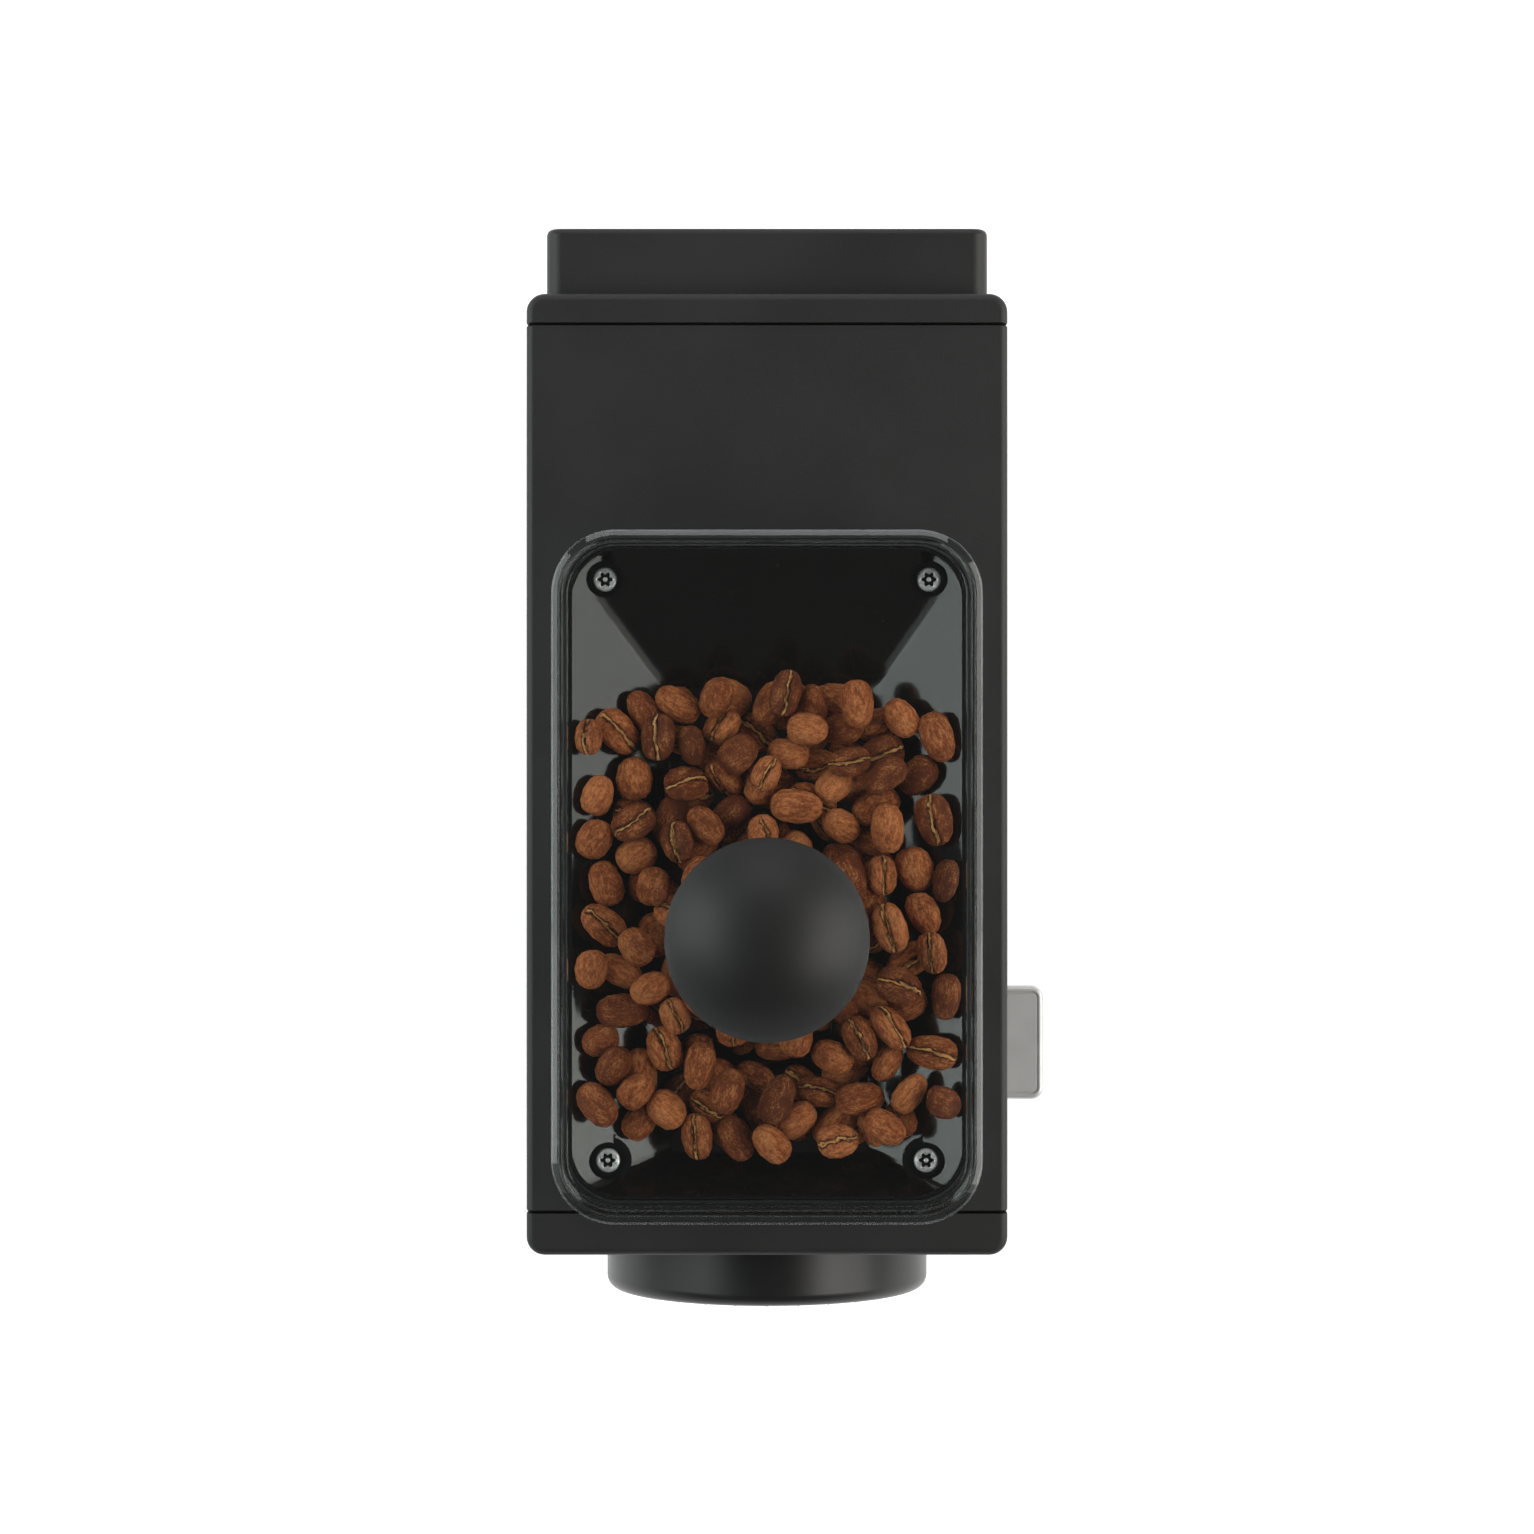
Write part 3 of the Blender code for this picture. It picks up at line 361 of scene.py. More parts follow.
class Finish:
    """A material around one Principled BSDF. Constants are set on the shader's own sockets."""

    def __init__(self, name, **constants):
        self.material = bpy.data.materials.new(name)
        self.material.use_nodes = True
        self.tree = self.material.node_tree
        self.shader = self.tree.nodes["Principled BSDF"]
        for key, value in constants.items():
            self.shader.inputs[key.replace("_", " ")].default_value = value

    def put(self, target, value):
        if isinstance(value, Socket):
            self.tree.links.new(value.output, target)
        elif target.type == "RGBA" and len(value) == 3:
            target.default_value = (*value, 1.0)
        else:
            target.default_value = value

    def node(self, kind, inputs=None, output=0, **settings):
        """Any shader node: its settings first, then the values or links of its sockets."""
        made = self.tree.nodes.new("ShaderNode" + kind)
        for key, value in settings.items():
            setattr(made, key, value)
        for key, value in (inputs or {}).items():
            self.put(made.inputs[key], value)
        return Socket(self, made.outputs[output])

    def place(self, stretch=(1.0, 1.0, 1.0)):
        """The piece's own coordinates in metres, stretched where a pattern has a direction."""
        spot = self.node("TexCoord", output="Object")
        return self.node("Mapping", {"Vector": spot, "Scale": stretch})

    def texture(self, where, scale, detail, rough=0.5):
        """Noise at a vector, from 0 to 1."""
        return self.node("TexNoise", {"Vector": where, "Scale": scale, "Detail": detail, "Roughness": rough})

    def noise(self, size, detail=2.0, where=None, rough=0.5):
        """Noise whose lumps are about size metres across."""
        return self.texture(where or self.place(), 1.0 / size, detail, rough)

    def axes(self, where):
        """The three parts of a vector."""
        split = self.node("SeparateXYZ", {0: where}).output.node
        return [Socket(self, part) for part in split.outputs]

    def ramp(self, value, low, high):
        """0 below low, 1 above high, and a smooth rise between them."""
        inputs = {"Value": value, "From Min": low, "From Max": high}
        return self.node("MapRange", inputs, interpolation_type="SMOOTHSTEP")

    def mix(self, factor, first, second):
        """A colour between two colours."""
        return self.node("Mix", {0: factor, 6: first, 7: second}, 2, data_type="RGBA")

    def bump(self, height, depth):
        """A normal from a height in units of depth metres."""
        return self.node("Bump", {"Height": height, "Distance": depth, "Strength": 1.0})

    def into(self, **links):
        for key, value in links.items():
            self.put(self.shader.inputs[key.replace("_", " ")], value)
        return self


# %% [markdown]
# ## The coats and plastics
# The body wears a fine black powder coat with a tiny orange-peel grain. The dial is turned and anodised, so
# it has fine rings around its axis and a satin shine. The knob and the small parts are moulded. Each finish
# varies slowly in shade and roughness over a few centimetres, as handled parts do.


# %% Coats
def coat(name, tone, rough, grain, depth, drift=0.12, shine=0.5):
    """A matt or satin dark coat: grain sets the bump, and slow noise drifts shade and roughness."""
    made = Finish(name, Specular_IOR_Level=shine)
    slow = made.noise(0.035, 3.0)
    fine = made.noise(grain, 2.0)
    darker, lighter = (tuple(c * (1 + s * drift) for c in tone) for s in (-1, 1))
    shade = made.mix(made.ramp(slow + (fine - 0.5) * 0.5, 0.3, 0.7), darker, lighter)
    made.into(Base_Color=shade, Roughness=rough + (slow - 0.5) * 0.14 + (fine - 0.5) * 0.05)
    made.into(Normal=made.bump(fine, depth))
    return made.material


POWDER = coat("powder_coat", (0.0150, 0.0150, 0.0154), 0.50, 0.00035, 0.00003, shine=0.45)
CAP_COAT = coat("cap_coat", (0.0118, 0.0118, 0.0122), 0.55, 0.00035, 0.00003, shine=0.45)
MOULDED = coat("moulded_black", (0.012, 0.012, 0.012), 0.42, 0.0006, 0.00002)
DOME = coat("dome_satin", (0.011, 0.011, 0.0112), 0.46, 0.0005, 0.000006, shine=0.38)
RUBBER = coat("rubber", (0.011, 0.011, 0.011), 0.78, 0.0008, 0.00005)
SHELL_FINISH = ("chassis", "body_coat", POWDER)
RING_PITCH, RING_DEPTH = 0.00025, 0.000004


def ringed(name, tone, rough, metallic, axis, centre, shine=0.5):
    """A turned surface: rings around an axis, from noise that is stretched around it."""
    made = Finish(name, Metallic=metallic, Specular_IOR_Level=shine)
    parts = made.axes(made.place())
    u, v = (parts[k] for k in CROSSING[axis])
    radius = ((u - centre[0]) ** 2 + (v - centre[1]) ** 2) ** 0.5
    line = made.node("CombineXYZ", {0: radius, 1: parts["XYZ".index(axis)]})
    rings = made.noise(RING_PITCH, 3.0, line)
    slow = made.noise(0.02, 2.0)
    darker, lighter = (tuple(c * s for c in tone) for s in (0.86, 1.12))
    made.into(Base_Color=made.mix(made.ramp(slow * 0.5 + rings * 0.5, 0.35, 0.65), darker, lighter))
    made.into(Roughness=rough + (rings - 0.5) * 0.12 + (slow - 0.5) * 0.06)
    made.into(Normal=made.bump(rings, RING_DEPTH))
    return made.material


DIAL_SATIN = ringed("dial_anodised", (0.014, 0.014, 0.0145), 0.33, 0.0, "Y", (0.0, axis_z), shine=0.38)
CUP_SATIN = ringed("cup_anodised", (0.020, 0.020, 0.021), 0.36, 0.2, "Z", (0.0, -0.066))
print("finishes:", len(bpy.data.materials))

# %% [markdown]
# The hopper's tray is a polished dark moulding, nearly a mirror with very little colour of its own. A few
# faint scuffs and a wisp of coffee dust keep it from looking like glass.

# %% Tray plastic and metals
polish = Finish("polished_tray", IOR=1.5)
dust = polish.noise(0.0009, 5.0, rough=0.7)
cloud = polish.noise(0.018, 3.0)
specks = polish.ramp(dust + cloud * 0.25, 0.78, 0.88)
polish.into(Base_Color=polish.mix(specks * 0.6, (0.0042, 0.0042, 0.0038), (0.030, 0.020, 0.013)))
polish.into(Roughness=0.10 + cloud * 0.05 + specks * 0.25)
polish.into(Normal=polish.bump(polish.noise(0.012, 2.0), 0.00003))
TRAY = polish.material


def metal(name, tone, rough, lengthwise=(1.0, 1.0, 1.0), depth=0.000004, stain=0.10, metallic=1.0):
    """A brushed or ground metal: scratches are noise squeezed along one direction."""
    made = Finish(name, Metallic=metallic)
    scratch = made.noise(0.0004, 3.0, made.place(lengthwise))
    cloud = made.noise(0.012, 3.0)
    dull = tuple(c * (1 - stain) for c in tone)
    made.into(Base_Color=made.mix(made.ramp(cloud, 0.35, 0.7), tone, dull))
    made.into(Roughness=rough + (scratch - 0.5) * 0.16 + (cloud - 0.5) * 0.10)
    made.into(Normal=made.bump(scratch, depth))
    return made.material


STEEL = metal("ground_steel", (0.56, 0.56, 0.57), 0.30)
CHROME = metal("satin_chrome", (0.80, 0.80, 0.81), 0.42, (1.0, 0.06, 1.0), 0.000002)
BLASTED = metal("blasted_alloy", (0.76, 0.76, 0.76), 0.34, (1.0, 0.06, 1.0), 0.000002, metallic=0.4)
ALUMINIUM = metal("cast_aluminium", (0.62, 0.63, 0.64), 0.40, depth=0.00002, stain=0.2)
BRASS = metal("sintered_brass", (0.66, 0.47, 0.20), 0.34, depth=0.00001)
COPPER = metal("copper_wire", (0.62, 0.29, 0.15), 0.34, (1.0, 8.0, 1.0), 0.00006)

green = Finish("circuit_board")
weave = green.noise(0.0006, 2.0)
tracks = green.ramp(green.noise(0.004, 0.0), 0.5, 0.53)
green.into(Base_Color=green.mix(tracks, (0.012, 0.075, 0.035), (0.02, 0.12, 0.05)))
green.into(Roughness=0.35 + weave * 0.2, Normal=green.bump(tracks, 0.00003))
BOARD = green.material
print("finishes:", len(bpy.data.materials))

# %% [markdown]
# The hopper's wall and lid are clear, injection-moulded plastic about 2 mm thick. A bent light path through
# real glass would leave the beans dark or grainy, so each wall is a pane: light goes straight through it, and
# a share is mirrored: 4% straight on, and the rest with the fifth power of how far the surface turns away.
# A little haze and a few hairlines add to it.

# %% Clear plastic
clear = Finish("clear_plastic", Metallic=1.0)
haze = clear.noise(0.012, 3.0)
hairs = clear.ramp(clear.noise(0.0005, 2.0, clear.place((1.0, 0.04, 1.0))), 0.70, 0.82)
clear.into(Base_Color=clear.mix(haze, (0.86, 0.88, 0.88), (0.94, 0.96, 0.96)))
clear.into(Roughness=0.03 + hairs * 0.10 + haze * 0.02)
clear.into(Normal=clear.bump(clear.noise(0.02, 1.0), 0.00001))
pane = clear.node("BsdfTransparent", {"Color": (0.962, 0.974, 0.969)})
facing = clear.node("LayerWeight", {"Blend": 0.5}, output="Facing")
share = 0.040 + haze * 0.006 + hairs * 0.006 + facing**5 * 0.94
gloss = Socket(clear, clear.shader.outputs[0])
both = clear.node("MixShader", {0: share, 1: pane, 2: gloss})
clear.tree.links.new(both.output, clear.tree.nodes["Material Output"].inputs["Surface"])
CLEAR = clear.material

# %% [markdown]
# ## The table
# A plain white surface that runs out of view and glows a little, as an over-lit studio sweep does.

# %% Floor
sweep = Finish("white_sweep", Roughness=0.7, Emission_Strength=0.6)
mottle = sweep.noise(0.3, 2.0)
sweep.into(Base_Color=sweep.mix(mottle, (0.90, 0.90, 0.90), (0.93, 0.93, 0.93)))
sweep.into(Emission_Color=sweep.mix(mottle, (0.99, 0.99, 0.99), (1.0, 1.0, 1.0)))
floor = piece_of("table", block((-3, -3), (3, 3), 0.3, (-0.02, 0.0), (0.002, 0.002)))
floor.data.materials.append(sweep.material)

# %% [markdown]
# ## Body
# A square tube runs front to back and a cap closes each end. The tube is one outline with a small radius at
# its four edges, carried along Y: those radii catch the side light as thin bright lines from above. Its ends
# and the caps' edges get tiny chamfers, which make the dark seam lines. The mouth for the hopper is cut out
# of the top. Cutters reach PAST the faces that they open.

# %% Body tube
EDGE, SEAM_EDGE, WALL, PAST = 0.0017, 0.0003, 0.003, 0.002
CLEAR_WALL, RIM_RADIUS = 0.0017, 0.0135
OUTLET_LOW, OUTLET_HIGH, CUT_CORNER = (-0.0145, -0.088), (0.0145, -0.0655), 0.0004
start, end = tube_low[1], tube_high[1]
tube_ends = [(WALL, start), (SEAM_EDGE, start), (0.0, start + SEAM_EDGE)]
tube_ends += [(0.0, end - SEAM_EDGE), (SEAM_EDGE, end), (WALL, end)]
loops = [lay(outline(tube_low[[0, 2]] + i, tube_high[[0, 2]] - i, EDGE, 6), w, "Y") for i, w in tube_ends]
mouth = CLEAR_WALL + gap
top_skin = (tube_high[2] - 0.006, tube_high[2] + 0.003)
hole = block(rim_low[:2] + mouth, rim_high[:2] - mouth, RIM_RADIUS - mouth, top_skin, corner=16)
outlet = block(OUTLET_LOW, OUTLET_HIGH, CUT_CORNER, (tube_low[2] - PAST, tube_low[2] + 0.006))
add_piece("body_shell", solid(loops, ring=True), *SHELL_FINISH, ["body_tube"], cuts=[hole, outlet])

# %% Front and rear caps
front_low, front_high = span("front_cap")
rear_low, rear_high = span("rear_cap")
CORNER, DIAL_BORE, WINDOW_HALF, WINDOW_LEVELS = 0.004, 0.024, 0.036, (0.131, 0.197)
radii, soft = (CORNER, CORNER, SEAM_EDGE, SEAM_EDGE), (1, 1, 1, SEAM_EDGE / EDGE)
shape = box_block("front_cap", radii, (EDGE, EDGE), soft=soft)
bore = rod(DIAL_BORE, (front_low[1] - PAST, front_high[1] + PAST), (0.0, axis_z), "Y")
add_piece("front_end_cap", shape, "chassis", "body_coat", CAP_COAT, ["front_cap"], cuts=[bore])

shape = box_block("rear_cap", radii[::-1], (EDGE, EDGE), soft=(1, 1, SEAM_EDGE / EDGE, 1))
window_low, window_high = (-WINDOW_HALF, rear_low[1] - PAST), (WINDOW_HALF, rear_high[1] + PAST)
window = block(window_low, window_high, CUT_CORNER, WINDOW_LEVELS)
add_piece("rear_end_cap", shape, *SHELL_FINISH, ["rear_cap"], cuts=[window])

# %% [markdown]
# ## Rear cover
# A shallow box screwed to the back hides the motor's end and lets the fan's air out through slots with
# round ends: each cutter's corner radius is half its height.

# %% Rear cover with its vents
cover_low, cover_high = span("rear_cover")
COVER_WALL, COVER_RADIUS, COVER_EDGE, SCREW_HOLE = 0.0025, 0.0035, 0.0014, 0.0021
SLOTS, PITCH, SLOT_HALF, SLOT_HIGH = 9, 0.0062, 0.030, 0.0026
start, end = cover_low[1], cover_high[1]
cup_ends = [(COVER_WALL, end - COVER_WALL), (COVER_WALL, start), (SEAM_EDGE, start), (0.0, start + SEAM_EDGE)]
stops = [(i, w, i / 2) for i, w in cup_ends] + [(i, end - s, i) for i, s in rounding(COVER_EDGE)]
loops = []
for inset, w, tighter in stops:
    flat = outline(cover_low[[0, 2]] + inset, cover_high[[0, 2]] - inset, COVER_RADIUS - tighter)
    loops.append(lay(flat, w, "Y"))
through, half = (end - 0.004, end + PAST), SLOT_HIGH / 2
heights = axis_z + (np.arange(SLOTS) - (SLOTS - 1) / 2) * PITCH
slots = []
for z in heights:
    slots.append(block((-SLOT_HALF, z - half), (SLOT_HALF, z + half), half - 0.00005, through, axis="Y"))
vent_screws = [(middle(f"cover_screw_{n}", "Y")[0], axis_z) for n in (1, 2)]
holes = [rod(SCREW_HOLE, through, spot, "Y", 24) for spot in vent_screws]
add_piece("rear_vent_cover", solid(loops), *SHELL_FINISH, ["rear_cover"],
          cuts=[join(*slots), join(*holes)])


# %% [markdown]
# ## Screws
# The screws have button heads with a six-lobed socket and a pin in it. From above the head is a bright disc
# with a dark flower, whose darkness is partly painted shade. The head is a stack of rings: round outside,
# with six waves inside the socket.

# %% Lobed screw heads
def screw(centre, axis, seat, top, head, shank, tip, count=48):
    """Rings from the tip of the shank over the head and down into the socket. The socket's radius is
    r (1 + 0.2 cos 6a)."""
    wave = 1 + 0.20 * np.cos(6 * np.linspace(0, 2 * math.pi, count, endpoint=False))
    socket, chip = 0.54 * head, 0.0001
    rings = [(POLE, tip), (shank * 0.8, tip), (shank, tip + shank * 0.5), (shank, seat)]
    rings += [(head - chip, seat), (head, seat + chip)]
    rings += [(head - i, top - (s + chip)) for i, s in rounding(min(0.0006, (top - seat) * 0.5), 4)]
    inside = [(socket * 1.12 * wave, 0.0), (socket * wave, chip), (socket * wave * 0.9, 0.0016)]
    inside += [(head * 0.19, 0.0017), (head * 0.18, 0.0003), (head * 0.12, 0.0002), (POLE, 0.0002)]
    rings += [(r, top - deep) for r, deep in inside]
    return solid([lay(ring_of(np.broadcast_to(r, count), count, centre), w, axis) for r, w in rings])


def screw_steel(name, along, top):
    """Plated steel that is bright on top of the head. Below the top and in the socket its colour is painted
    near-black, a painted shade.
    """
    made = Finish(name, Metallic=0.5)
    # painted shade: from about half a millimetre under the head's top downwards, socket included, the colour
    # fades to near-black
    deep = made.ramp(made.axes(made.place())[along], top - 0.0004, top - 0.0008)
    scuff = made.noise(0.0004, 3.0)
    bright = made.mix(made.ramp(scuff, 0.35, 0.7), (0.80, 0.80, 0.81), (0.52, 0.52, 0.53))
    made.into(Base_Color=made.mix(deep, bright, (0.020, 0.020, 0.020)), Roughness=0.26 + scuff * 0.18)
    made.into(Normal=made.bump(scuff, 0.000012))
    return made.material


tray_screws = [middle(f"hopper_screw_{n}", "Z") for n in range(1, 5)]
kinds = [("tray_screw", "hopper_screw", tray_screws, "Z", 0.0021, 0.0012)]
kinds += [("vent_screw", "cover_screw", vent_screws, "Y", 0.0019, 0.0016)]
for name, node, spots, axis, head_high, shank in kinds:
    along = "XYZ".index(axis)
    plated = screw_steel(f"{name}_steel", along, span(f"{node}_1")[1][along])
    for number, spot in enumerate(spots, 1):
        low, high = span(f"{node}_{number}")
        top, head = high[along], (high[0] - low[0]) / 2
        shape = screw(spot, axis, top - head_high, top, head, shank, low[along])
        add_piece(f"{name}_{number}", shape, "chassis", "steel", plated, [f"{node}_{number}"], even=False)

# %% [markdown]
# ## Hopper tray
# Four flat slopes run down to a floor around the throat. Each pair meets in a straight valley about 3 mm
# wide, which reads as a grey band between a light and a dark face. So the height is the largest of four
# planes, taken softly, and the round outline of the rim only trims it.

# %% Slopes as the soft maximum of four planes
LAND, TRAY_THICK, TRAY_FLOOR, THROAT_LOW = 0.0008, 0.0015, 0.2028, 0.180
floor_low, floor_high = np.array((-0.0206, -0.0848)), np.array((0.0218, 0.0168))
throat_low, throat_high = np.array((-0.014, -0.067)), np.array((0.014, -0.010))
tray_top = tray_high[2]
rise = tray_top - TRAY_FLOOR
pan_low, pan_high = tray_low[:2] + LAND, tray_high[:2] - LAND
VALLEY, FLOOR_BEND = 0.0021, 0.0005
# The two rear screws stand in notches: there the rear slope starts lower, over NOTCH_RUN in x and y.
NOTCH, NOTCH_RUN, NOTCH_STEP = (0.0340, 0.0385), (0.0006, 0.0012), 0.0045


def soft_max(a, b, width):
    """max(a, b) rounded where they differ by less than width: + width t^2 / 4, t = 1 - |a - b| / width."""
    t = np.clip(1 - np.abs(a - b) / width, 0, 1)
    return np.maximum(a, b) + width * t * t / 4


def pan_height(spot):
    """Height of the pan at points (x, y): each slope rises from the floor's edge to the pan's edge."""
    x, y = spot[..., 0], spot[..., 1]
    left = (floor_low[0] - x) / (floor_low[0] - pan_low[0])
    right = (x - floor_high[0]) / (pan_high[0] - floor_high[0])
    front = (floor_low[1] - y) / (floor_low[1] - pan_low[1])
    back = (y - floor_high[1]) / (pan_high[1] - floor_high[1])
    sides = rise * np.maximum(left, right)
    beyond_x = np.clip((np.abs(x) - NOTCH[0]) / NOTCH_RUN[0], 0, 1)
    beyond_y = np.clip((y - NOTCH[1]) / NOTCH_RUN[1], 0, 1)
    ends = rise * np.maximum(front, back) - NOTCH_STEP * (beyond_x * beyond_y)
    slopes = soft_max(sides, ends, VALLEY)
    return TRAY_FLOOR + np.minimum(soft_max(slopes, np.zeros_like(slopes), FLOOR_BEND), rise)


# %% The pan as one closed skin
SIDES, CORNERS, RINGS = (46, 70), 14, 26
BOSS, POCKET, SHANK_HOLE = 0.0052, 0.0040, 0.0015
BOSS_LOW, BOSS_TOP, SEAT = 0.2040, 0.2090, 0.2070


def tray_loop(low, high, radius):
    """An outline with enough points on its straight sides for the slopes' curved edges."""
    return outline(low, high, radius, CORNERS, SIDES)


outer = tray_loop(tray_low[:2], tray_high[:2], RIM_RADIUS - mouth - gap)
edge = tray_loop(pan_low, pan_high, RIM_RADIUS - mouth - gap - LAND)
inner = tray_loop(floor_low, floor_high, 0.0015)
throat = tray_loop(throat_low, throat_high, 0.002)
duct = tray_loop(throat_low - TRAY_THICK, throat_high + TRAY_THICK, 0.0035)
shares = np.linspace(0, 1, RINGS)[:, None, None]
slope = edge * (1 - shares) + inner * shares
slope = np.concatenate([slope, [inner * (1 - t) + throat * t for t in (0.3, 0.6, 0.9)]])
under = slope[::-1][3:]
loops = [lay(outer, tray_top - 0.0003, "Z"), lay(outer + (inner - outer) * 0.006, tray_top, "Z")]
loops += [lay(edge + (outer - edge) * 0.15, tray_top, "Z"), *lay(slope, pan_height(slope), "Z")]
loops += [lay(throat, TRAY_FLOOR - 0.0004, "Z"), lay(throat, THROAT_LOW, "Z"), lay(duct, THROAT_LOW, "Z")]
loops += [lay(duct, TRAY_FLOOR - TRAY_THICK, "Z"), *lay(under, pan_height(under) - TRAY_THICK, "Z")]
loops += [lay(outer, pan_height(edge) - TRAY_THICK, "Z")]
bosses = [rod(BOSS, (BOSS_LOW, BOSS_TOP), spot, "Z", 40) for spot in tray_screws]
profile = [(SHANK_HOLE, BOSS_LOW - 0.001), (SHANK_HOLE, SEAT), (POCKET, SEAT), (POCKET, tray_top + 0.001)]
pockets = [turned(profile, spot, "Z", 40) for spot in tray_screws]
add_piece("tray_pan", solid(loops, ring=True), "chassis", "tray_plastic", TRAY, ["hopper_tray"],
          cuts=pockets, adds=bosses, angle=28)

# %% [markdown]
# ## Clear wall, lid and knob
# The wall is a short open tube. The lid is a flat plate with a sloping edge, a lip that stands inside the
# wall, and a hole for the knob's screw. The knob is part of a sphere on a short upright edge.

# %% Clear wall
RIM_CORNER = 20


def rim_outline(inset):
    return outline(rim_low[:2] + inset, rim_high[:2] - inset, RIM_RADIUS - inset, RIM_CORNER)


wall_low, wall_high, soft = rim_low[2], rim_high[2], 0.0004
profile = [(0.0, wall_low)] + [(i, wall_high - s) for i, s in rounding(soft, 4)]
profile += [(CLEAR_WALL - i, wall_high - s) for i, s in rounding(soft, 4)[::-1]] + [(CLEAR_WALL, wall_low)]
loops = [lay(rim_outline(inset), z, "Z") for inset, z in profile]
add_piece("hopper_clear_wall", solid(loops, ring=True), "chassis", "clear_plastic", CLEAR, ["hopper_wall"])

# %% Clear lid
knob_y = middle("lid_knob", "Z")[1]
plate_low, plate_top, lip_low = rim_high[2] + gap, lid_high[2], lid_low[2]
LIP_OUT, LIP_IN, LIP_EDGE, HOLE = CLEAR_WALL + 0.0004, CLEAR_WALL + 0.0016, 0.0004, 0.0022
CHAMFER, CHAMFER_TILT, CHAMFER_SOFT = 0.0014, math.radians(23), 0.00012


def round_hole(radius, z):
    """A circle around the knob's axis with as many points as the rim's outline, each towards its partner."""
    toward = rim_outline(0.0) - (0.0, knob_y)
    toward /= np.linalg.norm(toward, axis=1, keepdims=True)
    return lay(toward * radius + (0.0, knob_y), z, "Z")


profile = [(LIP_IN, plate_low), (LIP_IN, lip_low + LIP_EDGE), (LIP_IN - LIP_EDGE, lip_low)]
profile += [(LIP_OUT + LIP_EDGE, lip_low), (LIP_OUT, lip_low + LIP_EDGE), (LIP_OUT, plate_low)]
profile += [(SEAM_EDGE, plate_low), (0.0, plate_low + SEAM_EDGE)]
shoulder = plate_top - CHAMFER * math.tan(CHAMFER_TILT)
profile += [(0.0, shoulder - CHAMFER_SOFT), (CHAMFER_SOFT * 0.3, shoulder - CHAMFER_SOFT * 0.3)]
profile += [(CHAMFER_SOFT, shoulder + CHAMFER_SOFT * 0.42)]
profile += [(CHAMFER - CHAMFER_SOFT, plate_top - CHAMFER_SOFT * 0.42), (CHAMFER + CHAMFER_SOFT, plate_top)]
loops = [round_hole(HOLE, plate_low)] + [lay(rim_outline(inset), z, "Z") for inset, z in profile]
loops.append(round_hole(HOLE, plate_top))
add_piece("hopper_lid", solid(loops, ring=True), "lid", "clear_plastic", CLEAR, ["lid_plate"], angle=18)

# %% Domed knob
knob_low, knob_high = span("lid_knob")
knob_radius, base, top = (knob_high[0] - knob_low[0]) / 2, knob_low[2], knob_high[2]
UPRIGHT, BORE, BORE_TOP, CHIP = 0.0015, 0.0018, base + 0.006, 0.0003
dome_rise = top - base - UPRIGHT
sphere = (knob_radius**2 + dome_rise**2) / (2 * dome_rise)
polar = np.linspace(math.asin(knob_radius / sphere), 0, 22)
dome = [(sphere * math.sin(a), top - sphere * (1 - math.cos(a))) for a in polar]
profile = [(POLE, BORE_TOP), (BORE, BORE_TOP), (BORE, base), (knob_radius - CHIP, base)]
profile += [(knob_radius, base + CHIP), (knob_radius, base + UPRIGHT - CHIP)] + dome[1:]
shape = turned(profile, (0.0, knob_y), "Z", 96)
add_piece("lid_dome_knob", shape, "lid", "black_plastic", DOME, ["lid_knob"], even=False)

# %% [markdown]
# ## Dial
# A wide disc on the front turns to set the burrs apart. From above only its rim shows, so its roundings and
# its turned finish carry the look. Its face has a shallow dish, one tick for each click and a number at every
# third, and a tick on the cap marks where to read them.

# %% Turned dial
dial_radius, dial_face, dial_back = (dial_high[0] - dial_low[0]) / 2, dial_low[1], front_low[1] - gap
FACE_EDGE, BACK_EDGE, DISH, DISH_RADIUS = 0.0030, 0.0006, 0.0006, 0.0225
RIM_THICK, SHELL, HUB, HUB_EDGE, hub_end = 0.0035, 0.0033, 0.0100, 0.0004, dial_high[1]
profile = [(0.0, dial_face + DISH), (DISH_RADIUS - 0.001, dial_face + DISH)]
profile += [(DISH_RADIUS - 0.0003, dial_face + DISH * 0.5), (DISH_RADIUS, dial_face + 0.00005)]
profile += [(DISH_RADIUS + 0.0003, dial_face)]
profile += [(dial_radius - i, dial_face + s) for i, s in rounding(FACE_EDGE, 10)[::-1]]
profile += [(dial_radius - i, dial_back - s) for i, s in rounding(BACK_EDGE, 4)]
profile += [(dial_radius - RIM_THICK, dial_back), (dial_radius - RIM_THICK, dial_face + SHELL)]
profile += [(HUB, dial_face + SHELL), (HUB, hub_end - HUB_EDGE), (HUB - HUB_EDGE, hub_end), (0.0, hub_end)]
shape = turned(profile, (0.0, axis_z), "Y", 128)
add_piece("grind_size_dial", shape, "grind_dial", "black_plastic", DIAL_SATIN, ["dial"])

# %% Ticks and numbers
CLICKS, TICK_HIGH, TICK_DEEP, TICK_END = 30, 0.00012, 0.0002, 0.0337
LONG_TICK, SHORT_TICK = (0.0316, TICK_END, 0.00035), (0.0326, TICK_END, 0.0002)
NUMBER_SIZE, NUMBER_RADIUS = 0.0046, 0.0280


def clock(angle):
    """Directions away from the dial's axis and across that, at an angle from the top, seen from the front."""
    return np.array((math.sin(angle), math.cos(angle))), np.array((math.cos(angle), -math.sin(angle)))


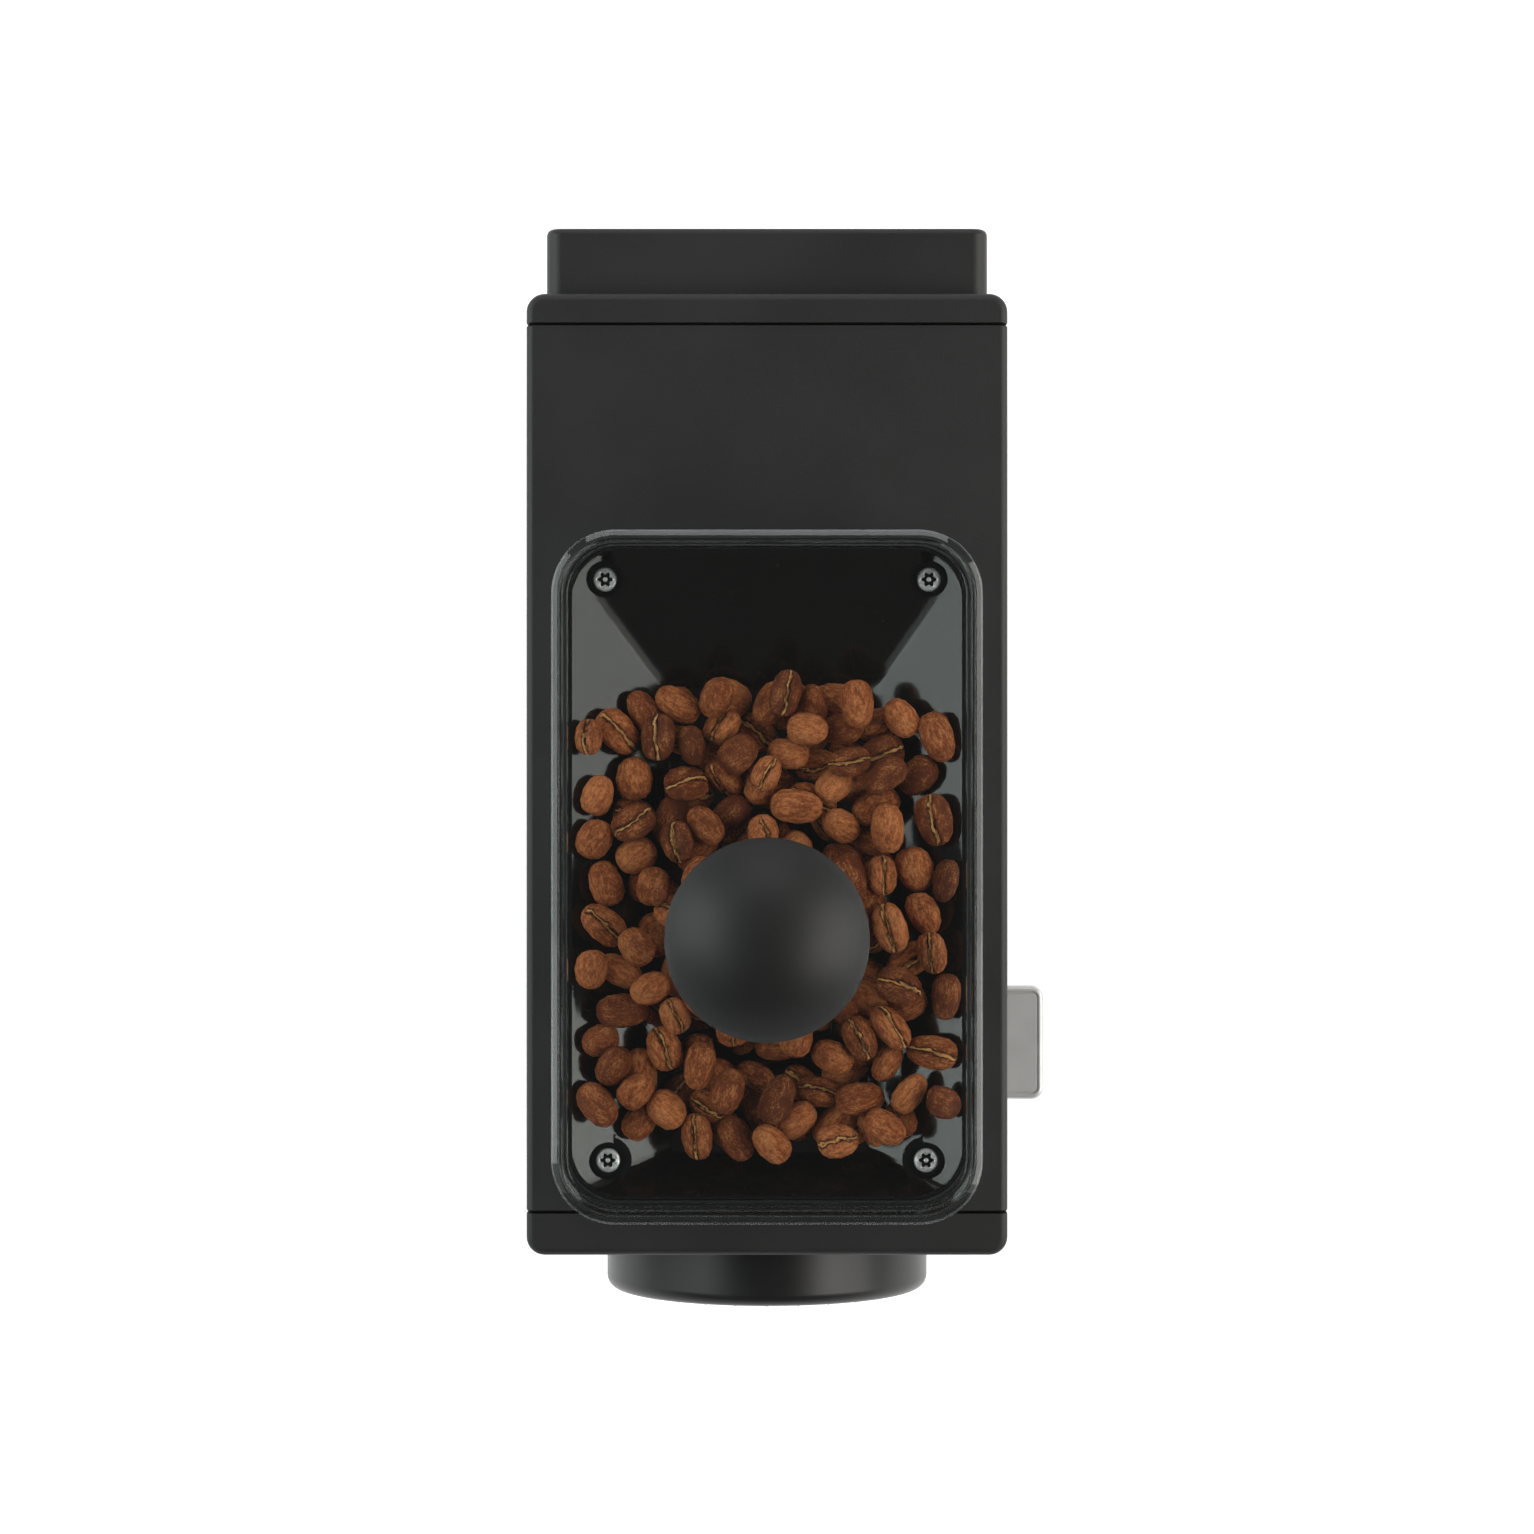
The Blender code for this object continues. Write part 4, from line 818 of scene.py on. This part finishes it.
def tick(angle, inner_radius, outer_radius, half, face):
    """A thin bar along a radius that stands on a face."""
    along, across = clock(angle)
    corners = [(inner_radius, -half), (outer_radius, -half), (outer_radius, half), (inner_radius, half)]
    flat = np.array([along * r + across * s for r, s in corners]) + (0.0, axis_z)
    return solid([lay(flat, w, "Y") for w in (face - TICK_HIGH, face + TICK_DEEP)])


ink = Finish("printed_grey", Roughness=0.5)
worn = ink.noise(0.0008, 3.0)
ink.into(Base_Color=ink.mix(worn, (0.34, 0.34, 0.33), (0.46, 0.46, 0.45)))
PRINT = ink.material
turns = 2 * math.pi * np.arange(CLICKS) / CLICKS
ticks = [tick(a, *(SHORT_TICK if i % 3 else LONG_TICK), dial_face) for i, a in enumerate(turns)]
add_piece("dial_ticks", join(*ticks), "grind_dial", "black_plastic", PRINT, even=False)

numbers = []
for i in range(0, CLICKS, 3):
    text = bpy.data.curves.new("number", "FONT")
    text.body, text.size, text.extrude = str(i // 3), NUMBER_SIZE, TICK_HIGH
    text.align_x, text.align_y = "CENTER", "CENTER"
    holder = bpy.data.objects.new("number", text)
    scene.collection.objects.link(holder)
    bpy.context.view_layer.update()
    flat = bpy.data.meshes.new_from_object(holder.evaluated_get(bpy.context.evaluated_depsgraph_get()))
    spots = np.zeros(len(flat.vertices) * 3)
    flat.vertices.foreach_get("co", spots)
    spots = spots.reshape(-1, 3)
    up, right = clock(turns[i])
    upright = spots[:, :1] * right + spots[:, 1:2] * up + (up * NUMBER_RADIUS + (0.0, axis_z))
    numbers.append((lay(upright, dial_face - spots[:, 2], "Y"), [list(p.vertices) for p in flat.polygons]))
    bpy.data.objects.remove(holder)
add_piece("dial_numbers", join(*numbers), "grind_dial", "black_plastic", PRINT, even=False)

index = tick(0.0, dial_radius + 0.0012, dial_radius + 0.0042, 0.00045, front_low[1])
add_piece("dial_index", index, "chassis", "body_coat", PRINT, even=False)

# %% [markdown]
# ## Knocker
# A metal tab on the right side of the chute: a flick against it shakes the last grounds loose. It is the
# brightest part of the machine: a flat pale top, a fine groove, and rounded edges that catch the light.

# %% Knocker tab
knock_low, knock_high = span("knocker_lever")
pivot = middle("knocker_pin", "Y")
THICK, TAB_CORNER, TAB_EDGE, GROOVE, TAB_ROOT = 0.004, 0.003, 0.0011, 0.0005, 0.010
LEVER_HUB, PIN_BORE, NOTCH_HALF = 0.0034, 0.0018, np.array((0.0048, 0.0032))
tab_low, tab_high = np.array((pivot[0] - TAB_ROOT, knock_low[1])), knock_high[:2]
low_z, high_z = pivot[1] - THICK / 2, pivot[1] + THICK / 2
tab_profile = [(i, low_z + s) for i, s in rounding(TAB_EDGE, 6)[::-1]]
tab_profile += [(i, high_z - s) for i, s in rounding(TAB_EDGE, 6)]
tab_profile += [(0.00125, high_z), (0.0014, high_z - GROOVE), (0.0018, high_z - GROOVE), (0.00195, high_z)]
loops = []
for inset, z in tab_profile:
    draw = inset * np.array((0.15, 1.0))
    radii = np.maximum((0.0004, TAB_CORNER - inset, TAB_CORNER - inset, 0.0004), 0.0003)
    loops.append(lay(outline(tab_low + draw, tab_high - inset, radii), z, "Z"))
hub = rod(LEVER_HUB, (tab_low[1], tab_high[1]), pivot, "Y", 40)
tab_bore = rod(PIN_BORE, (tab_low[1] - 0.001, tab_high[1] + 0.001), pivot, "Y", 32)
spot = np.array((pivot[0], (tab_low[1] + tab_high[1]) / 2))
notch = block(spot - NOTCH_HALF, spot + NOTCH_HALF, 0.0002, (pivot[1] - 0.006, pivot[1] + 0.006))
add_piece("knocker_tab", solid(loops), "knocker", "chrome", BLASTED, ["knocker_lever"],
          cuts=[tab_bore, notch], adds=[hub])

# %% [markdown]
# ## Stand
# A hollow column at the rear carries the body over the catch cup. It stands on a heavy plate with a rubber
# pad under it, and holds the start button on its right side and the lead's bush at its back.

# %% Column, base and pad
leg_low, leg_high = span("leg_shell")
button_centre, gland_centre = middle("start_button", "X"), middle("cord_gland", "Y")
LEG_RADIUS, LEG_EDGE, DEEP, roof = 0.004, 0.0004, 0.006, leg_high[2] - WALL
leg_profile = [(WALL, roof), (WALL, leg_low[2]), (LEG_EDGE, leg_low[2]), (0.0, leg_low[2] + LEG_EDGE)]
leg_profile += [(i, leg_high[2] - s) for i, s in rounding(0.0006, 3)]
loops = []
for inset, z in leg_profile:
    flat = outline(leg_low[:2] + inset, leg_high[:2] - inset, LEG_RADIUS - min(inset, 0.002))
    loops.append(lay(flat, z, "Z"))
button_hole = rod(0.0075, (leg_high[0] - DEEP, leg_high[0] + 0.001), button_centre, "X", 48)
gland_hole = rod(0.0063, (leg_high[1] - DEEP, leg_high[1] + 0.001), gland_centre, "Y", 48)
wire_hole = rod(0.008, (roof - PAST, leg_high[2] + PAST), (0.0, 0.060), "Z", 32)
add_piece("rear_column", solid(loops), *SHELL_FINISH, ["leg_shell"],
          cuts=[button_hole, gland_hole, wire_hole])

plate_top = span("base_plate")[1][2]
well = rod(0.0083, (plate_top - 0.0037, plate_top + PAST), middle("base_magnet", "Z"), "Z")
shape = box_block("base_plate", LEG_RADIUS, (0.0012, 0.0016))
add_piece("stand_plate", shape, *SHELL_FINISH, ["base_plate"], cuts=[well])
shape = box_block("base_pad", LEG_RADIUS, (0.0006, 0.0004))
add_piece("stand_pad", shape, "chassis", "rubber", RUBBER, ["base_pad"])

# %% Button and bezel
low, high = span("start_button")
root, reach, BUTTON, FLANGE = low[0], high[0], 0.007, 0.0088
profile = [(0.0, root), (FLANGE, root), (FLANGE, root + 0.0015), (BUTTON, root + 0.0017)]
profile += [(BUTTON - i, reach - s) for i, s in rounding(0.0007, 5)]
profile += [(0.0052, reach), (0.0046, reach - 0.0003), (0.0015, reach - 0.0005), (0.0, reach - 0.0005)]
button_steel = ringed("button_steel", (0.60, 0.60, 0.61), 0.24, 1.0, "X", button_centre)
shape = turned(profile, button_centre, "X", 72)
add_piece("start_push_button", shape, "button", "steel", button_steel, ["start_button"])

low, high = span("button_bezel")
RING_IN, RING_OUT, CHIP = 0.0077, 0.0104, 0.0002
profile = [(RING_IN, low[0]), (RING_IN, high[0] - CHIP), (RING_IN + CHIP, high[0])]
profile += [(RING_OUT - i, high[0] - s) for i, s in rounding(0.0010, 6)] + [(RING_OUT, low[0])]
shape = turned(profile, button_centre, "X", 72, ring=True)
add_piece("button_ring", shape, "chassis", "chrome", CHROME, ["button_bezel"])

# %% Ribbed bush for the lead
low, high = span("cord_gland")
y0, y1, yb = leg_high[1], high[1], low[1]
BUSH_IN, BUSH_NECK, BUSH_FLANGE, CHIP = 0.0035, 0.0060, 0.0088, 0.0004
profile = [(BUSH_IN, y1 - CHIP), (0.0039, y1), (0.0056, y1), (BUSH_NECK, y1 - CHIP)]
for k in range(4):
    y, wider = y1 - 0.0010 - 0.0012 * k, 0.0005 * k
    profile += [(0.0061 + wider, y), (0.0057 + wider, y - 0.0002), (0.0057 + wider, y - 0.0005)]
profile += [(0.0086, y0 + 0.0012), (BUSH_FLANGE, y0 + 0.0009), (BUSH_FLANGE, y0 + gap)]
profile += [(BUSH_NECK, y0 + gap)]
profile += [(BUSH_NECK, yb + CHIP), (0.0056, yb), (BUSH_IN, yb)]
shape = turned(profile, gland_centre, "Y", 48, ring=True)
add_piece("lead_bush", shape, "chassis", "rubber", RUBBER, ["cord_gland"])

# %% Catch cup
low, high = span("catch_cup")
radius, floor_z, lip_z = (high[0] - low[0]) / 2, low[2], high[2]
CUP_WALL, FLOOR_THICK, FOOT, LIP = 0.0015, 0.0022, 0.006, 0.0005
inside = radius - CUP_WALL
profile = [(0.0, floor_z + 0.0003), (radius - FOOT, floor_z + 0.0003), (radius - 0.0055, floor_z)]
profile += [(radius - i, floor_z + s) for i, s in rounding(0.004, 8)[::-1]]
profile += [(radius - i, lip_z - s) for i, s in rounding(LIP, 3)]
profile += [(inside + i, lip_z - s) for i, s in rounding(LIP, 3)[::-1]]
profile += [(inside - i, floor_z + FLOOR_THICK + s) for i, s in rounding(0.003, 6)]
profile += [(0.0, floor_z + FLOOR_THICK)]
shape = turned(profile, middle("catch_cup", "Z"), "Z", 96)
add_piece("grounds_cup", shape, "cup", "body_coat", CUP_SATIN, ["catch_cup"])

# %% [markdown]
# ## Machine inside
# The burrs, auger, motor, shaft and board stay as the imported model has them, and each gets a real finish by
# the slot it belongs to.

# %% Finishes for the inner nodes
BY_SLOT = {"body_coat": POWDER, "cover_plastic": MOULDED, "black_plastic": MOULDED, "tray_plastic": TRAY,
           "clear_plastic": CLEAR, "chrome": CHROME, "steel": STEEL, "aluminium": ALUMINIUM, "brass": BRASS,
           "copper": COPPER, "rubber": RUBBER, "board": BOARD}
for name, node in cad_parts.items():
    for spot in node.material_slots:
        base = (spot.material.name if spot.material else "steel").split(".")[0]
        spot.material = BY_SLOT.get(base, STEEL)
print("inner nodes:", sum(not n.hide_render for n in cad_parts.values()))

# %% [markdown]
# ## Beans
# A bean is half an egg: round on one side and nearly flat on the other, with a crease along the flat side.
# The pile is made by dropping beans into the throat and then the pan: each bean tries a few places and
# turns, and settles where it gains least height over the bare tray. The surface so far is kept as a height
# map, so no bean runs into the tray and they hardly run into each other.

# %% One bean
around_bean = np.radians([270, 277, 291, 318, 350, 20, 50, 78, 102, 130, 160, 190, 222, 249, 263])
along_bean = np.radians([13, 32, 58, 90, 122, 148, 167])


def bean(length, width, high, flat, lean):
    """A bean on its own axes, x along it. (x, y, z) = (l cos s, w sin s cos a, h sin s sin a), with powers
    below one that make the ends blunt. h is smaller and squarer towards the flat side, with a groove at its
    middle. lean: how much thicker one end is, and the bend sideways and up by sin 2s."""
    s, a = along_bean[:, None], around_bean[None, :]
    cos_a, sin_a = np.cos(a), np.sin(a)
    ends = np.sign(np.cos(s)) * np.abs(np.cos(s)) ** 0.9
    x = np.broadcast_to(length * ends, (len(along_bean), len(around_bean)))
    y = width * np.sin(s) ** 0.78 * cos_a
    lower = -flat * np.abs(sin_a) ** 0.55
    z = np.sin(s) ** 0.84 * np.where(sin_a > 0, high * sin_a, lower)
    z = z + np.where(np.arange(len(around_bean)) == 0, 0.0007, 0.0) * np.sin(s)
    thicker = 1 + lean[0] * np.cos(s)
    y = y * thicker + width * lean[1] * np.sin(2 * s)
    z = z * thicker + high * lean[2] * np.sin(2 * s)
    body = np.stack([x, y, z], -1).reshape(-1, 3)
    return np.concatenate([body, [(length, 0, -flat * 0.05), (-length, 0, -flat * 0.05)]])


def bean_faces():
    """Quads between the ribs and triangles at the two tips."""
    rows, count = len(along_bean), len(around_bean)
    r, c = np.arange(rows - 1)[:, None] * count, np.arange(count)[None, :]
    beside = (c + 1) % count
    quads = np.stack([r + c, r + beside, r + count + beside, r + count + c], -1).reshape(-1, 4).tolist()
    first, last, c = rows * count, rows * count + 1, np.arange(count)
    tips = np.stack([np.full(count, first), (c + 1) % count, c], -1).tolist()
    start = (rows - 1) * count
    tips += np.stack([np.full(count, last), start + c, start + (c + 1) % count], -1).tolist()
    return quads + tips


BEAN_FACES = bean_faces()


# %% Drop the beans
def turn(yaw, pitch, roll):
    """A rotation: roll about x, then pitch about y, then yaw about z."""
    cy, sy, cp, sp, cr, sr = (f(v) for v in (yaw, pitch, roll) for f in (math.cos, math.sin))
    about_z = np.array([(cy, -sy, 0), (sy, cy, 0), (0, 0, 1)])
    about_y = np.array([(cp, 0, sp), (0, 1, 0), (-sp, 0, cp)])
    about_x = np.array([(1, 0, 0), (0, cr, -sr), (0, sr, cr)])
    return about_z @ about_y @ about_x


STEP, WALLED = 0.0006, 1.0
heap_low, heap_high = pan_low - 0.001, pan_high + 0.001
grid_x = np.arange(heap_low[0], heap_high[0], STEP)
grid_y = np.arange(heap_low[1], heap_high[1], STEP)
ground = np.stack(np.meshgrid(grid_x, grid_y, indexing="ij"), -1)
heap = pan_height(ground)
in_throat = np.all((ground > throat_low + 0.0003) & (ground < throat_high - 0.0003), -1)
heap[in_throat] = THROAT_LOW + 0.0005
outside = np.any((ground < pan_low + 0.0006) | (ground > pan_high - 0.0006), -1)
heap[outside] = WALLED
for spot in tray_screws:
    heap[np.linalg.norm(ground - spot, axis=-1) < BOSS] = WALLED
bare = heap.copy()


def shadow_of(axes, matrix):
    """The cells that a bean covers, with the height of its lower and upper side over its middle, taken as the
    ellipsoid through its half axes. A is the ellipsoid's matrix; z solves (p, z) A (p, z) = 1."""
    a = matrix @ np.diag(1 / axes**2) @ matrix.T
    reach = int(axes.max() / STEP) + 1
    cells = np.arange(-reach, reach + 1)
    i, j = np.meshgrid(cells, cells, indexing="ij")
    x, y = i * STEP, j * STEP
    b = a[0, 2] * x + a[1, 2] * y
    c = a[0, 0] * x * x + 2 * a[0, 1] * x * y + a[1, 1] * y * y - 1
    root = b * b - a[2, 2] * c
    inside = root > 0
    root = np.sqrt(np.where(inside, root, 0))
    return i[inside], j[inside], ((-b - root) / a[2, 2])[inside], ((-b + root) / a[2, 2])[inside]


HIGHEST, PILE_BEND = tray_top + 0.003, 0.011
HALF_AXES, SMALLEST, LARGEST = np.array((0.0050, 0.0038, 0.0028)), (0.88, 0.94, 0.92), (1.14, 1.06, 1.10)
FACE_DOWN, LEANS = 0.70, (0.13, 0.07, 0.07)
pile_low, pile_high = np.array((-0.0405, -0.0825)), np.array((0.0405, 0.0165))
dice = np.random.default_rng(21)


def drop(count, tries, low, high, over_bare, tilt):
    """Drops beans one by one, each at the best of its tries, and returns for each its points, those points
    on its own axes, and its shade."""
    made = []
    for _ in range(count):
        size = dice.normal(1.0, 0.05) * HALF_AXES
        size *= dice.uniform(SMALLEST, LARGEST)
        best = None
        for _ in range(tries):
            spot = dice.uniform(low, high)
            bend = PILE_BEND * (spot[0] / high[0]) ** 2
            spot[1] = np.clip(spot[1], low[1] + bend, high[1] - bend)
            face_down = 0.0 if dice.random() < FACE_DOWN else math.pi
            yaw, pitch = dice.uniform(0, 2 * math.pi), dice.normal(0, tilt)
            matrix = turn(yaw, pitch, face_down + dice.normal(0, tilt * 1.5))
            i, j, under, over = shadow_of(size, matrix)
            cell = np.round((spot - heap_low) / STEP).astype(int)
            i, j = i + cell[0], j + cell[1]
            if i.min() < 0 or j.min() < 0 or i.max() >= heap.shape[0] or j.max() >= heap.shape[1]:
                continue
            z = (heap[i, j] - under).max()
            score = z - (np.median(bare[i, j]) if over_bare else 0)
            if z < HIGHEST and (best is None or score < best[0]):
                best = (score, z, cell, matrix, i, j, over)
        if best is None:
            continue
        _, z, cell, matrix, i, j, over = best
        heap[i, j] = np.maximum(heap[i, j], z + over)
        centre = np.array((*(heap_low + cell * STEP), z + 0.0001))
        lean = dice.uniform(-1.0, 1.0, 3) * LEANS
        own = bean(size[0], size[1], size[2] * 1.02, size[2] * 0.80, lean) * 0.985
        made.append((own @ matrix.T + centre, own / size, np.full(len(own), dice.random())))
    return made


filled = drop(105, 14, throat_low + 0.004, throat_high - 0.004, False, 0.35)
filled += drop(185, 40, pile_low, pile_high, True, 0.26)
highest = max(points[:, 2].max() for points, _, _ in filled)
print("beans:", len(filled), "highest", round(highest, 4), "lid lip", round(lip_low, 4))

# %% Roasted finish
roast = Finish("roasted_bean", Specular_IOR_Level=0.18)
own = roast.node("Attribute", output="Vector", attribute_name="own")
lengthwise, across, depth_in = roast.axes(own)
shade = roast.node("Attribute", output="Fac", attribute_name="shade")
seed = roast.node("CombineXYZ", {0: shade * 37, 1: shade * 91, 2: shade * 53})
local = roast.node("VectorMath", {0: own, 1: seed}, operation="ADD")
stretched = roast.node("Mapping", {"Vector": local, "Scale": (0.95, 1.8, 1.8)})
wrinkle = roast.texture(stretched, 2.6, 6.0, 0.7)
blotch = roast.texture(local, 1.1, 2.0)
wander = roast.texture(local, 2.4, 4.0, 0.6)
grit = roast.texture(local, 9.0, 3.0, 0.75)
bend = roast.node("Math", {0: lengthwise * 2.4 + shade * 6.0}, operation="SINE")
offset = across + (wander - 0.5) * 0.62 + bend * 0.09
away = (offset * offset) ** 0.5
flat_side = roast.ramp(depth_in, -0.10, -0.30)
# The band along the crease is a groove in the bump, and in the colour a painted shade on its sides.
crease_groove_and_painted_shade = roast.ramp(away, 0.22, 0.10) * flat_side
seam = roast.ramp(away, 0.09, 0.04) * flat_side * roast.ramp(wrinkle + grit * 0.5, 0.50, 0.70)
# mottle follows the wrinkle bump: besides a mottled tone it paints the ridges lighter and the hollows darker,
# a painted relief shade.
mottle = roast.ramp(wrinkle * 0.65 + grit * 0.35, 0.38, 0.62)
flecks = roast.ramp(grit + blotch * 0.35, 0.74, 0.84) * (1 - crease_groove_and_painted_shade)
dark, middle_tone, light = (0.130, 0.026, 0.006), (0.45, 0.108, 0.027), (0.84, 0.285, 0.100)
tone = roast.mix(roast.ramp(shade * 0.8 + blotch * 0.8, 0.20, 1.10), dark, middle_tone)
tone = roast.mix(roast.ramp(shade * 0.6 + blotch * 0.6 + mottle * 0.5, 0.60, 1.40), tone, light)
# painted shade in the wrinkles' hollows, together with a darker mottled tone
tone = roast.mix((1 - mottle) * 0.34, tone, (0.050, 0.017, 0.007))
tone = roast.mix(flecks * 0.6, tone, (0.55, 0.28, 0.10))
# painted shade: the band along the crease is darkened as if its groove were in shade
tone = roast.mix(crease_groove_and_painted_shade * 0.8, tone, (0.030, 0.012, 0.006))
tone = roast.mix(seam, tone, (1.0, 0.50, 0.17))
roast.into(Base_Color=tone, Roughness=0.34 + wrinkle * 0.20 + seam * 0.2)
roast.into(Normal=roast.bump(wrinkle + grit * 0.35 - crease_groove_and_painted_shade * 0.7 + seam * 0.5, 0.0011))

# %% One mesh for all beans
points, own_places, shades = zip(*filled)
beans = piece_of("coffee_beans", join(*[outward(some, BEAN_FACES) for some in points]))
own_places, shades = (np.concatenate(a).astype(np.float32) for a in (own_places, shades))
beans.data.attributes.new("own", "FLOAT_VECTOR", "POINT").data.foreach_set("vector", own_places.ravel())
beans.data.attributes.new("shade", "FLOAT", "POINT").data.foreach_set("value", shades)
finish_piece(beans, "chassis", None, roast.material, angle=60, even=False)
